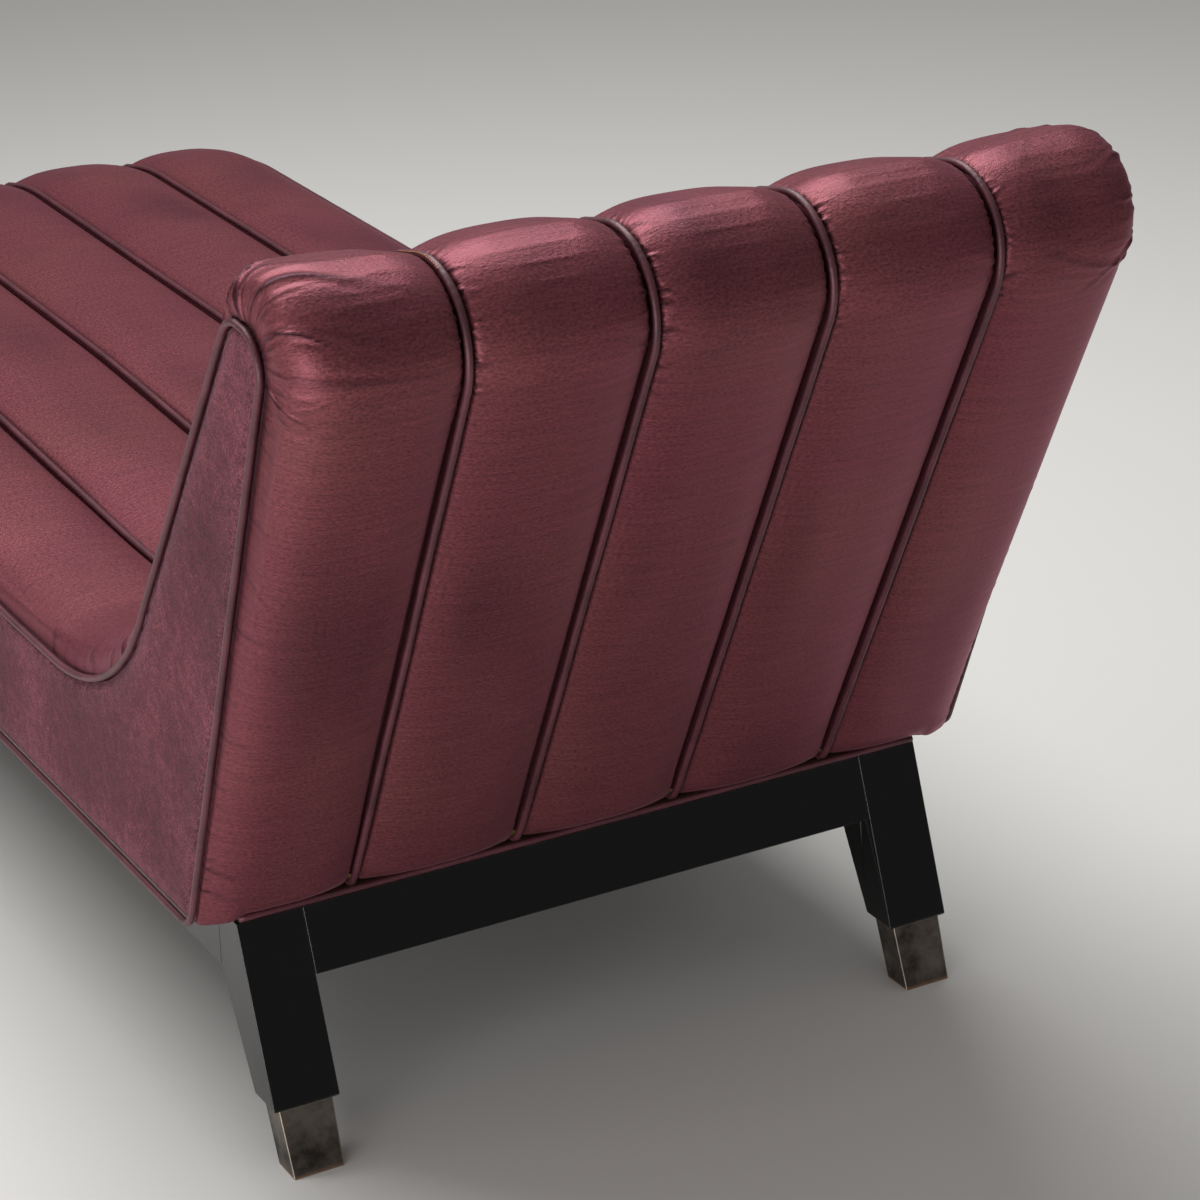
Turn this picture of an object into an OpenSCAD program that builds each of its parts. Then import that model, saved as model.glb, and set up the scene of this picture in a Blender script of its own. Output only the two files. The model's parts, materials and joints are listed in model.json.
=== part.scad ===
// Channelled chaise longue on a black lacquered base with metal sabots.
// X runs across, +Y points to the back, the foot end lies towards -Y, Z is up.
// The origin is on the floor under the middle of the whole piece.

/* [Base] */
// How far the body overhangs the base on each side
base_overhang = 40; // [25:1:60]
// Length of the base at the rail tops, from the front legs' faces to the rear legs' faces
base_len = 1485; // [1300:5:1700]
// Height of the rail tops above the floor
rail_top = 198; // [180:1:220]
// Height of the rails and aprons
rail_h = 52; // [44:1:60]
// Thickness of the side rails
rail_t = 26; // [20:1:32]
// Thickness of the canted aprons
apron_t = 26; // [20:1:30]
// Width of a leg across the base
leg_w = 57; // [48:1:66]
// Depth of a leg at its joint with the side rail
leg_joint_d = 35; // [30:1:42]
// Depth of a leg just above its sabot
leg_foot_d = 36.5; // [32:0.5:44]
// How far a leg's outer face splays from the rail top to the floor
leg_splay = 74; // [50:1:84]
// Width of the bevel round a leg's lower end
leg_bevel = 2; // [1:0.5:3]

/* [Sabots] */
// Height of a sabot
sabot_h = 53; // [45:1:60]
// Width of a sabot at its top
sabot_top_w = 46.5; // [42:0.5:50]
// Width of a sabot at its sole
sabot_sole_w = 43.5; // [38:0.5:46]
// Depth of a sabot at its top
sabot_top_d = 29; // [26:0.5:32]
// Depth of a sabot at its sole
sabot_sole_d = 29; // [24:0.5:32]
// Wall of a sabot
sabot_wall = 2; // [1.5:0.25:3]
// Thickness of a sabot's sole
sabot_sole = 5; // [4:0.5:8]

/* [Side profile] */
// Overall width over the side welts
body_w = 720; // [690:5:780]
// How far the body's lower corners lie inside the legs' outer faces
body_lip = 5; // [2:1:10]
// Gap between the rail tops and the lower edge of the cover
body_gap = 2; // [1.5:0.1:4]
// Height of the shoulder corner above the cover's lower edge
back_rise = 535; // [480:5:600]
// How far the shoulder corner leans behind the lower corner
back_lean_depth = 208; // [160:2:250]
// Width of the shoulder between its two corners
shoulder_w = 61; // [58:1:80]
// How much higher the inner shoulder corner is
shoulder_tip = 5; // [0:1:10]
// Radius of the outer shoulder corner
shoulder_r = 27; // [18:1:28]
// Radius of the inner shoulder corner
shoulder_in_r = 30; // [18:1:32]
// How far the crook lies in front of the lower rear corner
crook_depth = 130; // [100:5:160]
// Height of the crook above the cover's lower edge
crook_rise = 134; // [120:2:160]
// Radius where the seat turns up into the back
crook_r = 240; // [180:5:280]
// Length of the level stretch of seat in front of the crook
dip_len = 265; // [230:5:320]
// Length of the rising stretch of seat
rise_len = 450; // [350:10:550]
// Height gained over the rising stretch
rise_h = 37; // [28:1:44]
// Height gained over the long upper stretch
level_h = 12; // [8:1:20]
// Radius between the stretches of the seat
seat_blend_r = 1500; // [1000:100:2000]
// Length of the falling stretch at the foot
foot_len = 112; // [108:1:130]
// Drop over the falling stretch
foot_drop = 25; // [20:1:30]
// How far the foot end leans out over its lower corner
foot_lean_depth = 62; // [45:1:66]
// Radius where the seat starts to fall
fall_r = 400; // [300:10:420]
// Radius of the foot's top corner
foot_r = 45; // [35:1:46]

/* [Channels] */
// Distance between the inner seams
channel_w = 148; // [135:1:155]
// Crown of a channel above its seams
channel_crown = 12; // [6:1:18]
// How far the inner seams stand out of the side seam at the bottom of the back
low_swell = 7; // [3:1:12]
// The same at the outer shoulder corner, backwards
back_swell = 80; // [72:1:84]
// The same at the outer shoulder corner, upwards
top_swell = 57; // [50:1:62]
// The same at the inner shoulder corner, upwards
nose_swell = 18; // [14:1:24]
// The same at the inner shoulder corner, forwards
nose_lead = 13; // [9:1:16]
// The same on the seat beside the crook, upwards
seat_swell = 23; // [12:1:30]
// The same on the upper stretch of the seat
level_swell = 10; // [5:1:16]
// How much further the outer channels bulge beside the side seam at the shoulder
shoulder_puff = 20; // [0:1:26]
// How far that bulge leans out over the side seam
side_puff = 12; // [0:1:14]
// Shoulder radius at the inner seams
swell_r = 58; // [48:1:60]
// Diameter of the welts
welt_d = 7; // [6:0.5:8]
// Depth of the groove that holds a welt
groove_d = 4; // [3.5:0.25:5]

/* [Upholstery] */
// Thickness of a side panel of cloth over its thin wadding
panel_t = 9.5; // [7:0.5:12]
// Thickness of the stuffing between the side seam and the frame
pad_t = 10; // [9:0.5:12]
// Thickness of the foam on the webbing
foam_t = 25; // [18:1:28]
// Thickness of the webbing
strap_t = 2.5; // [2:0.25:3.5]
// Width of a webbing strap
strap_w = 50; // [40:1:60]
// Number of straps under the seat
seat_straps = 14; // [10:1:16]
// Number of straps in the back
back_straps = 5; // [4:1:5]
// Thickness of the dust cover under the body
dust_t = 1; // [0.8:0.1:1.2]

/* [Body frame] */
// Thickness of the plywood side frames
side_frame_t = 22; // [18:1:25]
// Thickness of the fibreboard on the outer back and the foot
board_t = 4; // [3:0.5:5]
// Depth of the lower rails along the body
rail_d = 60; // [55:1:70]
// Height of the lower rails
low_rail_h = 36; // [30:1:45]
// Thickness of the crook rail
crook_rail_t = 28; // [22:1:34]
// Height of the crook rail
crook_rail_h = 60; // [50:1:70]
// Height of the top rail
top_rail_h = 85; // [70:1:100]
// Length of the foot rail along the body
foot_rail_d = 70; // [60:1:75]
// Height of the side frames above the cover's lower edge
frame_rise = 455; // [430:5:470]

/* [Hidden] */

// Colours of the finishes
lacquer = "#0b0b0d";
metal = "#6f6458";
velvet = "#5c2a38";
satin = "#743a46";
welt_tone = "#6a3040";
beech = "#c9a877";
plywood = "#b8966a";
fibreboard = "#8a6f52";
foam_tone = "#e2d9bd";
web_tone = "#2f2b28";
zinc = "#9aa0a6";
cambric = "#1c1c1f";

// Clearance between parts that touch, and the overrun of every cut
fit = 0.3;
over = 1;
hole_gap = 0.15;

// Fasteners of the base
dowel_d = 10;
dowel_len = 44;
dowel_pitch = 24;
bolt_d = 8;
bolt_len = 62;
bolt_head_d = 16;
bolt_head_h = 5;
block_screw_d = 5;
block_screw_len = 30;
block_screw_pitch = 18;
screw_head_d = 9;
screw_head_h = 3;
sabot_screw_d = 5;
sabot_screw_len = 22;
cover_tack_d = 2;
cover_tack_len = 12;
tack_head_d = 6;
tack_head_h = 0.5;
web_tack_d = 1.8;
web_tack_len = 13;
frame_screw_d = 5;
frame_screw_len = 60;

// Corner blocks and cross rails
block_h = 30;
block_side = 60;
block_nose = 12;
block_reach = 50;
block_drop = 6;
cross_rail_d = 50;
cross_rail_h = 40;
bolt_inset_x = 40;
bolt_inset_y = 14;

// Heights and lengths that follow from the sizes above
base_w = body_w - 2 * base_overhang;
body_z = rail_top + body_gap;
splay_share = leg_splay / rail_top;
body_len = base_len - 2 * body_lip;
end_lift = welt_d + body_gap / 2;
welt_r = welt_d / 2;
seam_x = body_w / 2 - welt_r;
panel_out_x = seam_x + over;
panel_in_x = panel_out_x - panel_t;
frame_out_x = panel_in_x - fit;
frame_in_x = frame_out_x - side_frame_t;
board_in = pad_t + fit + board_t + fit;
foam_in = pad_t + fit + foam_t;
strap_in = foam_in + tack_head_h + hole_gap;
frame_in = strap_in + strap_t;

// Plane geometry in the side view, where a point is [y, z]
function unit(v) = v / norm(v);
function outward(t) = [t[1], -t[0]];

// Point at height z on the line through p and q
function at_height(p, q, z) = p + (q - p) * (z - p[1]) / (q[1] - p[1]);

// Points of the arc that rounds corner q between p and s
function arc(p, q, s, r, n) =
    let (
        u = unit(p - q),
        v = unit(s - q),
        half = acos(u * v) / 2,
        centre = q + unit(u + v) * r / sin(half),
        from = q + u * r / tan(half) - centre,
        to = q + v * r / tan(half) - centre,
        turn = 180 - 2 * half
    )
    [for (i = [0:n]) centre + (from * sin(turn * (1 - i / n)) + to * sin(turn * i / n)) / sin(turn)];

// A polyline with rounded corners, where each corner is [point, radius, steps]
function rounded(c) =
    let (last = len(c) - 1)
    concat([c[0][0]],
        [for (k = [1:last - 1]) each arc(c[k - 1][0], c[k][0], c[k + 1][0], c[k][1], c[k][2])],
        [c[last][0]]);

// Outward normals of an open path, level at its two cut ends
function normals(p) =
    let (last = len(p) - 1)
    [for (k = [0:last])
        k == 0 ? [1, 0] :
        k == last ? [-1, 0] :
        unit(outward(unit(p[k] - p[k - 1])) + outward(unit(p[k + 1] - p[k])))];

// Steps on each rounded corner, the same at the side seam and at the inner seams
shoulder_steps = 7;
nose_steps = 4;
crook_steps = 8;
blend_steps = 3;
foot_steps = 5;
first_shoulder = 1;
last_nose = first_shoulder + shoulder_steps + 1 + nose_steps;
mid_crook = last_nose + 1 + crook_steps / 2;
first_foot = last_nose + 1 + crook_steps + 3 * (blend_steps + 1) + 1;
last_foot = first_foot + foot_steps;

// Corners of the side seam, measured from the body's lower rear corner
rear_foot = [0, body_z];
shoulder = [back_lean_depth, body_z + back_rise];
nose = shoulder + [-shoulder_w, shoulder_tip];
crook = [-crook_depth, body_z + crook_rise];
dip = crook + [-dip_len, 0];
rise = dip + [-rise_len, rise_h];
foot_top = [-body_len - foot_lean_depth, rise[1] + level_h - foot_drop];
fall = foot_top + [foot_len, foot_drop];
front_foot = [-body_len, body_z];
end_z = body_z + end_lift;

seam = rounded([
    [at_height(rear_foot, shoulder, end_z), 0, 0],
    [shoulder, shoulder_r, shoulder_steps],
    [nose, shoulder_in_r, nose_steps],
    [crook, crook_r, crook_steps],
    [dip, seat_blend_r, blend_steps],
    [rise, seat_blend_r, blend_steps],
    [fall, fall_r, blend_steps],
    [foot_top, foot_r, foot_steps],
    [at_height(front_foot, foot_top, end_z), 0, 0]]);
seam_out = normals(seam);

// Corners of the four inner seams, which stand out of the side seam
inner_rear = rear_foot + [low_swell, 0];
inner_shoulder = shoulder + [back_swell, top_swell];
inner_foot_top = foot_top + [-level_swell, level_swell];
inner_front = front_foot - [low_swell, 0];
inner = rounded([
    [at_height(inner_rear, inner_shoulder, end_z), 0, 0],
    [inner_shoulder, swell_r, shoulder_steps],
    [nose + [-nose_lead, nose_swell], shoulder_in_r + welt_r, nose_steps],
    [crook + [-level_swell, seat_swell], crook_r, crook_steps],
    [dip + [0, seat_swell], seat_blend_r, blend_steps],
    [rise + [0, level_swell], seat_blend_r, blend_steps],
    [fall + [0, level_swell], fall_r, blend_steps],
    [inner_foot_top, foot_r + welt_r, foot_steps],
    [at_height(inner_front, inner_foot_top, end_z), 0, 0]]);
inner_out = normals(inner);

last = len(seam) - 1;
rear_reach = max([for (k = [0:last]) inner[k][0] + channel_crown * inner_out[k][0]]);
crest_reach = max([for (k = [0:last]) -inner[k][0] - channel_crown * inner_out[k][0]]);
toe_reach = body_len + body_lip + leg_splay - (leg_foot_d - sabot_top_d) / 2;
front_reach = max(crest_reach, toe_reach);
shift_y = (front_reach - rear_reach) / 2;
base_mid_y = -body_len / 2;

// The seam moved inwards by d, as a list of points
function moved_in(d) = [for (k = [0:last]) seam[k] - d * seam_out[k]];
function slice(p, a, b) = [for (k = [a:b]) p[k]];
function backwards(p) = [for (k = [len(p) - 1:-1:0]) p[k]];
function ribbon(a, b, d_out, d_in) =
    concat(slice(moved_in(d_out), a, b), backwards(slice(moved_in(d_in), a, b)));

// The two straight faces of the side view, moved inwards by d, from their lower to their upper end
rear_out = outward(unit(shoulder - rear_foot));
front_out = outward(unit(front_foot - foot_top));
rail_z = rail_top + fit + dust_t;
function rear_line(d, z) = at_height(rear_foot - d * rear_out, shoulder - d * rear_out, z);
function front_line(d, z) = at_height(front_foot - d * front_out, foot_top - d * front_out, z);

// Outline of the hard frame: boards behind, webbing above, a rounded foot rail in front
board_top = seam[first_shoulder] - board_in * rear_out;
foot_board_top = seam[last_foot] - board_in * front_out;
frame_points = concat(
    [rear_line(board_in, rail_z), board_top],
    slice(moved_in(frame_in), last_nose, first_foot),
    slice(moved_in(pad_t + fit), first_foot, last_foot - 1),
    [foot_board_top + (board_in - pad_t - fit) * front_out, foot_board_top],
    [front_line(board_in, rail_z)]);

// Everything is drawn from the body's lower rear corner and then moved to the origin
module place() {
    translate([0, shift_y, 0]) children();
}

// Draws a side view outline across the body from x = a to x = b
module across(a, b) {
    translate([a, 0, 0])
        rotate([90, 0, 90])
            linear_extrude(height = b - a)
                children();
}

// Copies a rear left corner to one of the four corners of the base
module corner(side, end) {
    translate([0, base_mid_y, 0])
        mirror([side < 0 ? 1 : 0, 0, 0])
            mirror([0, end < 0 ? 1 : 0, 0])
                children();
}

// Closed skin over rings of points, all rings with the same count
module skin(rings, closed = false) {
    n = len(rings[0]);
    m = len(rings);
    steps = closed ? m : m - 1;
    sides = [for (k = [0:steps - 1], j = [0:n - 1])
        let (a = k * n + j, b = k * n + (j + 1) % n, c = ((k + 1) % m) * n + j, d = ((k + 1) % m) * n + (j + 1) % n)
        each [[a, b, d], [a, d, c]]];
    ends = closed ? [] : [[for (j = [n - 1:-1:0]) j], [for (j = [0:n - 1]) (m - 1) * n + j]];
    polyhedron(points = [for (r = rings) each r], faces = concat(sides, ends), convexity = 6);
}

// Base

half_len = base_len / 2;
half_w = base_w / 2;
rail_low = rail_top - rail_h;

function leg_face(z) = half_len + (rail_top - z) * splay_share;
leg_mid_x = half_w - leg_w / 2;
sabot_y0 = leg_face(sabot_h) - leg_foot_d / 2;
sabot_lean = sabot_h * splay_share - (leg_foot_d - sabot_top_d) / 2 + (leg_foot_d - sabot_sole_d) / 2;

// A block of rectangular sections, given as [z, centre y, width, depth] from the bottom up
module tapered(x, sections) {
    skin([for (s = sections)
        [[x + s[2] / 2, s[1] - s[3] / 2, s[0]], [x - s[2] / 2, s[1] - s[3] / 2, s[0]],
         [x - s[2] / 2, s[1] + s[3] / 2, s[0]], [x + s[2] / 2, s[1] + s[3] / 2, s[0]]]]);
}

module leg_dowel_holes(extra) {
    for (s = [-1, 1]) {
        z = rail_low + rail_h / 2 + s * dowel_pitch / 2;
        translate([half_w - leg_w, leg_face(z) - apron_t / 2, z])
            rotate([0, 90, 0])
                cylinder(h = dowel_len + extra * over, d = dowel_d + 2 * extra * hole_gap, center = true);
        translate([half_w - rail_t / 2, half_len - leg_joint_d, z])
            rotate([90, 0, 0])
                cylinder(h = dowel_len + extra * over, d = dowel_d + 2 * extra * hole_gap, center = true);
    }
}

module leg(side, end) {
    foot_y = leg_face(sabot_h);
    tenon_top_w = sabot_top_w - 2 * sabot_wall - 2 * hole_gap;
    tenon_top_d = sabot_top_d - 2 * sabot_wall - 2 * hole_gap;
    tenon_sole_w = sabot_sole_w - 2 * sabot_wall - 2 * hole_gap;
    tenon_sole_d = sabot_sole_d - 2 * sabot_wall - 2 * hole_gap;
    color(lacquer) place() corner(side, end) difference() {
        union() {
            across(half_w - leg_w, half_w) polygon([
                [half_len, rail_top],
                [half_len - leg_joint_d, rail_top],
                [half_len - leg_joint_d, rail_low],
                [leg_face(sabot_h + leg_bevel) - leg_foot_d, sabot_h + leg_bevel],
                [leg_face(sabot_h + leg_bevel), sabot_h + leg_bevel]]);
            tapered(leg_mid_x, [
                [sabot_h + fit, sabot_y0, leg_w - 2 * leg_bevel, leg_foot_d - 2 * leg_bevel],
                [sabot_h + leg_bevel, leg_face(sabot_h + leg_bevel) - leg_foot_d / 2, leg_w, leg_foot_d]]);
            tapered(leg_mid_x, [
                [sabot_sole + fit, sabot_y0 + sabot_lean * (1 - (sabot_sole + fit) / sabot_h), tenon_sole_w, tenon_sole_d],
                [sabot_h + fit, sabot_y0, tenon_top_w, tenon_top_d]]);
        }
        leg_dowel_holes(1);
        sabot_screw_shape(1);
    }
}

module sabot_screw_shape(extra) {
    translate([leg_mid_x, sabot_y0 + sabot_lean, over])
        cylinder(h = sabot_screw_len + extra * over, d = sabot_screw_d + 2 * extra * hole_gap);
    translate([leg_mid_x, sabot_y0 + sabot_lean, over - extra * 2 * over])
        cylinder(h = screw_head_h + extra * 2 * over, d = screw_head_d + 2 * extra * hole_gap);
}

module sabot(side, end) {
    inner_share = 1 - sabot_sole / sabot_h;
    color(metal) place() corner(side, end) difference() {
        tapered(leg_mid_x, [
            [0, sabot_y0 + sabot_lean, sabot_sole_w, sabot_sole_d],
            [sabot_h, sabot_y0, sabot_top_w, sabot_top_d]]);
        tapered(leg_mid_x, [
            [sabot_sole, sabot_y0 + sabot_lean * inner_share, sabot_sole_w - 2 * sabot_wall, sabot_sole_d - 2 * sabot_wall],
            [sabot_h + over, sabot_y0 - over * splay_share, sabot_top_w - 2 * sabot_wall, sabot_top_d - 2 * sabot_wall]]);
        sabot_screw_shape(1);
    }
}

module sabot_screws() {
    color(zinc) place() for (side = [-1, 1], end = [-1, 1]) corner(side, end) sabot_screw_shape(0);
}

module apron(end) {
    color(lacquer) place() corner(1, end) difference() {
        across(leg_w - half_w + fit, half_w - leg_w - fit) polygon([
            [half_len, rail_top],
            [half_len - apron_t, rail_top],
            [leg_face(rail_low) - apron_t, rail_low],
            [leg_face(rail_low), rail_low]]);
        leg_dowel_holes(1);
        mirror([1, 0, 0]) leg_dowel_holes(1);
    }
}

module side_rail(side) {
    reach = half_len - leg_joint_d - fit;
    color(lacquer) place() corner(side, 1) difference() {
        translate([half_w - rail_t, -reach, rail_low]) cube([rail_t, 2 * reach, rail_h]);
        leg_dowel_holes(1);
        mirror([0, 1, 0]) leg_dowel_holes(1);
        block_screw_shapes(1);
        mirror([0, 1, 0]) block_screw_shapes(1);
    }
}

module base_dowels() {
    color(beech) place() for (side = [-1, 1], end = [-1, 1]) corner(side, end) leg_dowel_holes(0);
}

// Cross rails lie at a third of the body's length from each end
cross_y = body_len / 6;

module cross_rail(end) {
    reach = half_w - rail_t - fit;
    color(beech) place() corner(1, end) difference() {
        translate([-reach, cross_y - cross_rail_d / 2, rail_top - cross_rail_h])
            cube([2 * reach, cross_rail_d, cross_rail_h]);
        mid_bolts(1);
    }
}

block_x = half_w - rail_t - fit;
block_y = half_len - leg_joint_d - fit;
bolt_x = block_x - bolt_inset_x;
bolt_y = block_y - bolt_inset_y;

module corner_blocks() {
    color(beech) place() for (side = [-1, 1], end = [-1, 1]) corner(side, end) difference() {
        translate([0, 0, rail_top - block_drop - block_h])
            linear_extrude(height = block_h)
                polygon([
                    [block_x, block_y],
                    [block_x - block_side, block_y],
                    [block_x - block_side, block_y - block_nose],
                    [block_x - block_nose, block_y - block_side],
                    [block_x, block_y - block_side]]);
        block_screw_shapes(1);
        corner_bolt(1);
    }
}

module block_screw_shapes(extra) {
    for (s = [0, 1])
        translate([block_x - block_screw_len + rail_t / 2,
            block_y - dowel_len / 2 - block_screw_d - s * block_screw_pitch,
            rail_top - block_drop - block_h / 2]) rotate([0, 90, 0]) {
            cylinder(h = block_screw_len + extra * over, d = block_screw_d + 2 * extra * hole_gap);
            translate([0, 0, -extra * block_side])
                cylinder(h = screw_head_h + extra * block_side, d = screw_head_d + 2 * extra * hole_gap);
        }
}

module block_screws() {
    color(zinc) place() for (side = [-1, 1], end = [-1, 1]) corner(side, end) block_screw_shapes(0);
}

// A bolt that passes up through the base into a lower rail of the body
module bolt(top_z, extra) {
    head_z = top_z - bolt_head_h;
    translate([0, 0, head_z]) {
        cylinder(h = bolt_len + bolt_head_h + extra * over, d = bolt_d + 2 * extra * hole_gap);
        cylinder(h = bolt_head_h, d = extra > 0 ? bolt_d + 2 * hole_gap : bolt_head_d);
    }
}

module corner_bolt(extra) {
    translate([bolt_x, bolt_y, 0]) bolt(rail_top - block_drop - block_h - fit, extra);
}

module mid_bolts(extra) {
    for (s = [-1, 1]) translate([s * bolt_x, cross_y, 0]) bolt(rail_top - cross_rail_h - fit, extra);
}

module body_bolts() {
    color(zinc) place() {
        for (side = [-1, 1], end = [-1, 1]) corner(side, end) corner_bolt(0);
        for (end = [-1, 1]) corner(1, end) mid_bolts(0);
    }
}

module all_bolt_holes() {
    for (side = [-1, 1], end = [-1, 1]) corner(side, end) corner_bolt(1);
    for (end = [-1, 1]) corner(1, end) mid_bolts(1);
}

// Hard frame of the body

rail_reach = frame_in_x - fit;
crook_rail_y = crook[0] + crook_rail_t;
crook_rail_z = crook[1] - frame_in - crook_rail_h / 4;
top_rail_z = body_z + frame_rise - top_rail_h;
mid_rail_y = base_mid_y + cross_y;

// The rails as [y from, y to, z from, z to] windows on the frame outline
rear_window = [-board_in - rail_d, 0, rail_z, rail_z + low_rail_h];
front_window = [-body_len, board_in - body_len + rail_d, rail_z, rail_z + low_rail_h];
mid_rear_window = [mid_rail_y - rail_d / 2, mid_rail_y + rail_d / 2, rail_z, rail_z + low_rail_h];
mid_front_window = [2 * base_mid_y - mid_rail_y - rail_d / 2, 2 * base_mid_y - mid_rail_y + rail_d / 2,
    rail_z, rail_z + low_rail_h];
crook_window = [crook_rail_y, crook_rail_y + crook_rail_t, crook_rail_z - crook_rail_h, crook_rail_z];
top_window = [0, 2 * back_lean_depth, top_rail_z, body_z + frame_rise];
foot_window = [foot_top[0] - foot_r, foot_top[0] + foot_rail_d, foot_top[1] - foot_rail_d, foot_top[1] + foot_r];

module window(w) {
    translate([w[0], w[2]]) square([w[1] - w[0], w[3] - w[2]]);
}

module frame_outline() {
    intersection() {
        polygon(frame_points);
        translate([-2 * body_len, 0]) square([3 * body_len, body_z + frame_rise]);
    }
}

// Screw places in the side view, two for each rail
function pair(y, z, dy, dz) = [[y - dy / 2, z - dz / 2], [y + dy / 2, z + dz / 2]];
rail_mid_z = rail_z + low_rail_h / 2;
back_share = back_lean_depth / back_rise;
top_screw_y = seam[first_shoulder][0] - (seam[first_shoulder][1] - top_rail_z - top_rail_h / 2) * back_share
    - board_in - side_frame_t;
screw_places = concat(
    pair(-board_in - rail_d / 2, rail_mid_z, rail_d / 2, 0),
    pair(board_in - body_len + rail_d / 2, rail_mid_z, rail_d / 2, 0),
    pair(mid_rail_y, rail_mid_z, rail_d / 2, 0),
    pair(2 * base_mid_y - mid_rail_y, rail_mid_z, rail_d / 2, 0),
    pair(crook_rail_y + crook_rail_t / 2, crook_rail_z - crook_rail_h / 2, 0, crook_rail_h / 2),
    pair(top_screw_y, top_rail_z + top_rail_h / 2, top_rail_h / 2 * back_share, top_rail_h / 2),
    pair(foot_top[0] + foot_rail_d * 3 / 4, foot_top[1] - foot_rail_d * 2 / 3, foot_rail_d / 3, 0));

module frame_screw_shapes(extra) {
    for (p = screw_places) translate([frame_out_x, p[0], p[1]]) rotate([0, -90, 0]) {
        cylinder(h = frame_screw_len + extra * over, d = frame_screw_d + 2 * extra * hole_gap);
        translate([0, 0, -extra * over])
            cylinder(h = screw_head_h + extra * over, d = screw_head_d + 2 * extra * hole_gap);
    }
}

module frame_screws() {
    color(zinc) place() for (m = [0, 1]) mirror([m, 0, 0]) frame_screw_shapes(0);
}

module side_frame(side) {
    color(plywood) place() mirror([side < 0 ? 1 : 0, 0, 0]) difference() {
        across(frame_in_x, frame_out_x) frame_outline();
        frame_screw_shapes(1);
        webbing_tack_shapes(1);
        cover_tack_shapes(1);
    }
}

module frame_rail(w) {
    color(beech) place() difference() {
        across(-rail_reach, rail_reach) intersection() {
            frame_outline();
            window(w);
        }
        for (m = [0, 1]) mirror([m, 0, 0]) frame_screw_shapes(1);
        all_bolt_holes();
    }
}

module back_board() {
    color(fibreboard) place() across(-frame_out_x, frame_out_x)
        polygon([
            rear_line(pad_t + fit, end_z),
            seam[first_shoulder] - (pad_t + fit) * rear_out,
            seam[first_shoulder] - (pad_t + fit + board_t) * rear_out,
            rear_line(pad_t + fit + board_t, end_z)]);
}

module foot_board() {
    color(fibreboard) place() across(-frame_out_x, frame_out_x)
        polygon([
            front_line(pad_t + fit, end_z),
            front_line(pad_t + fit, foot_board_top[1] - board_t),
            front_line(pad_t + fit + board_t, foot_board_top[1] - board_t),
            front_line(pad_t + fit + board_t, end_z)]);
}

// Webbing, foam and roll

seat_from = crook[0] - crook_r / 2;
seat_to = seam[first_foot][0] + strap_w;
seat_pitch = (seat_from - seat_to - strap_w) / (seat_straps - 1);
back_from = crook[1] + crook_r / 2;
back_to = body_z + frame_rise - strap_w;
back_pitch = (back_to - back_from) / (back_straps - 1);

module seat_strap_windows(w) {
    for (i = [0:seat_straps - 1])
        translate([seat_from - i * seat_pitch - strap_w / 2 - w / 2, 0]) square([w, 2 * back_rise]);
}

module back_strap_windows(w) {
    for (i = [0:back_straps - 1])
        translate([crook[0], back_from + i * back_pitch + strap_w / 2 - w / 2]) square([2 * back_lean_depth, w]);
}

module seat_webbing() {
    color(web_tone) place() difference() {
        across(-frame_out_x, frame_out_x) intersection() {
            polygon(ribbon(mid_crook, first_foot, strap_in, strap_in + strap_t));
            seat_strap_windows(strap_w);
        }
        for (m = [0, 1]) mirror([m, 0, 0]) webbing_tack_shapes(1);
    }
}

module back_webbing() {
    color(web_tone) place() difference() {
        across(-frame_out_x, frame_out_x) intersection() {
            polygon(ribbon(last_nose, mid_crook, strap_in, strap_in + strap_t));
            back_strap_windows(strap_w);
        }
        for (m = [0, 1]) mirror([m, 0, 0]) webbing_tack_shapes(1);
    }
}

// Place on the seam at a given y over the seat, or at a given z up the back
function at_y(y) = [for (k = [mid_crook:first_foot - 1]) if (seam[k][0] >= y && seam[k + 1][0] < y) k][0];
function at_z(z) = [for (k = [last_nose:mid_crook - 1]) if (seam[k][1] >= z && seam[k + 1][1] < z) k][0];
function seat_normal(y) = let (k = at_y(y)) outward(unit(seam[k + 1] - seam[k]));
function back_normal(z) = let (k = at_z(z)) outward(unit(seam[k + 1] - seam[k]));
function seat_point(y) = let (k = at_y(y), p = seam[k], q = seam[k + 1]) p + (q - p) * (p[0] - y) / (p[0] - q[0]);
function back_point(z) = let (k = at_z(z), p = seam[k], q = seam[k + 1]) p + (q - p) * (p[1] - z) / (p[1] - q[1]);

module tack_at(p, n, extra) {
    translate([frame_in_x + side_frame_t / 2, p[0], p[1]])
        rotate([atan2(n[1], n[0]) - 90, 0, 0]) {
            translate([0, 0, -strap_in - web_tack_len])
                cylinder(h = web_tack_len + tack_head_h, d = web_tack_d + 2 * extra * hole_gap);
            translate([0, 0, -strap_in])
                cylinder(h = tack_head_h, d = extra > 0 ? web_tack_d : tack_head_d);
        }
}

module webbing_tack_shapes(extra) {
    for (i = [0:seat_straps - 1]) {
        y = seat_from - i * seat_pitch - strap_w / 2;
        tack_at(seat_point(y), seat_normal(y), extra);
    }
    for (i = [0:back_straps - 1]) {
        z = back_from + i * back_pitch + strap_w / 2;
        tack_at(back_point(z), back_normal(z), extra);
    }
}

module webbing_tacks() {
    color(zinc) place() for (m = [0, 1]) mirror([m, 0, 0]) webbing_tack_shapes(0);
}

module seat_foam() {
    color(foam_tone) place() across(-frame_out_x, frame_out_x)
        polygon(ribbon(mid_crook, first_foot, pad_t + fit, foam_in));
}

module back_foam() {
    color(foam_tone) place() across(-frame_out_x, frame_out_x)
        polygon(ribbon(last_nose, mid_crook, pad_t + fit, foam_in));
}

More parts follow.
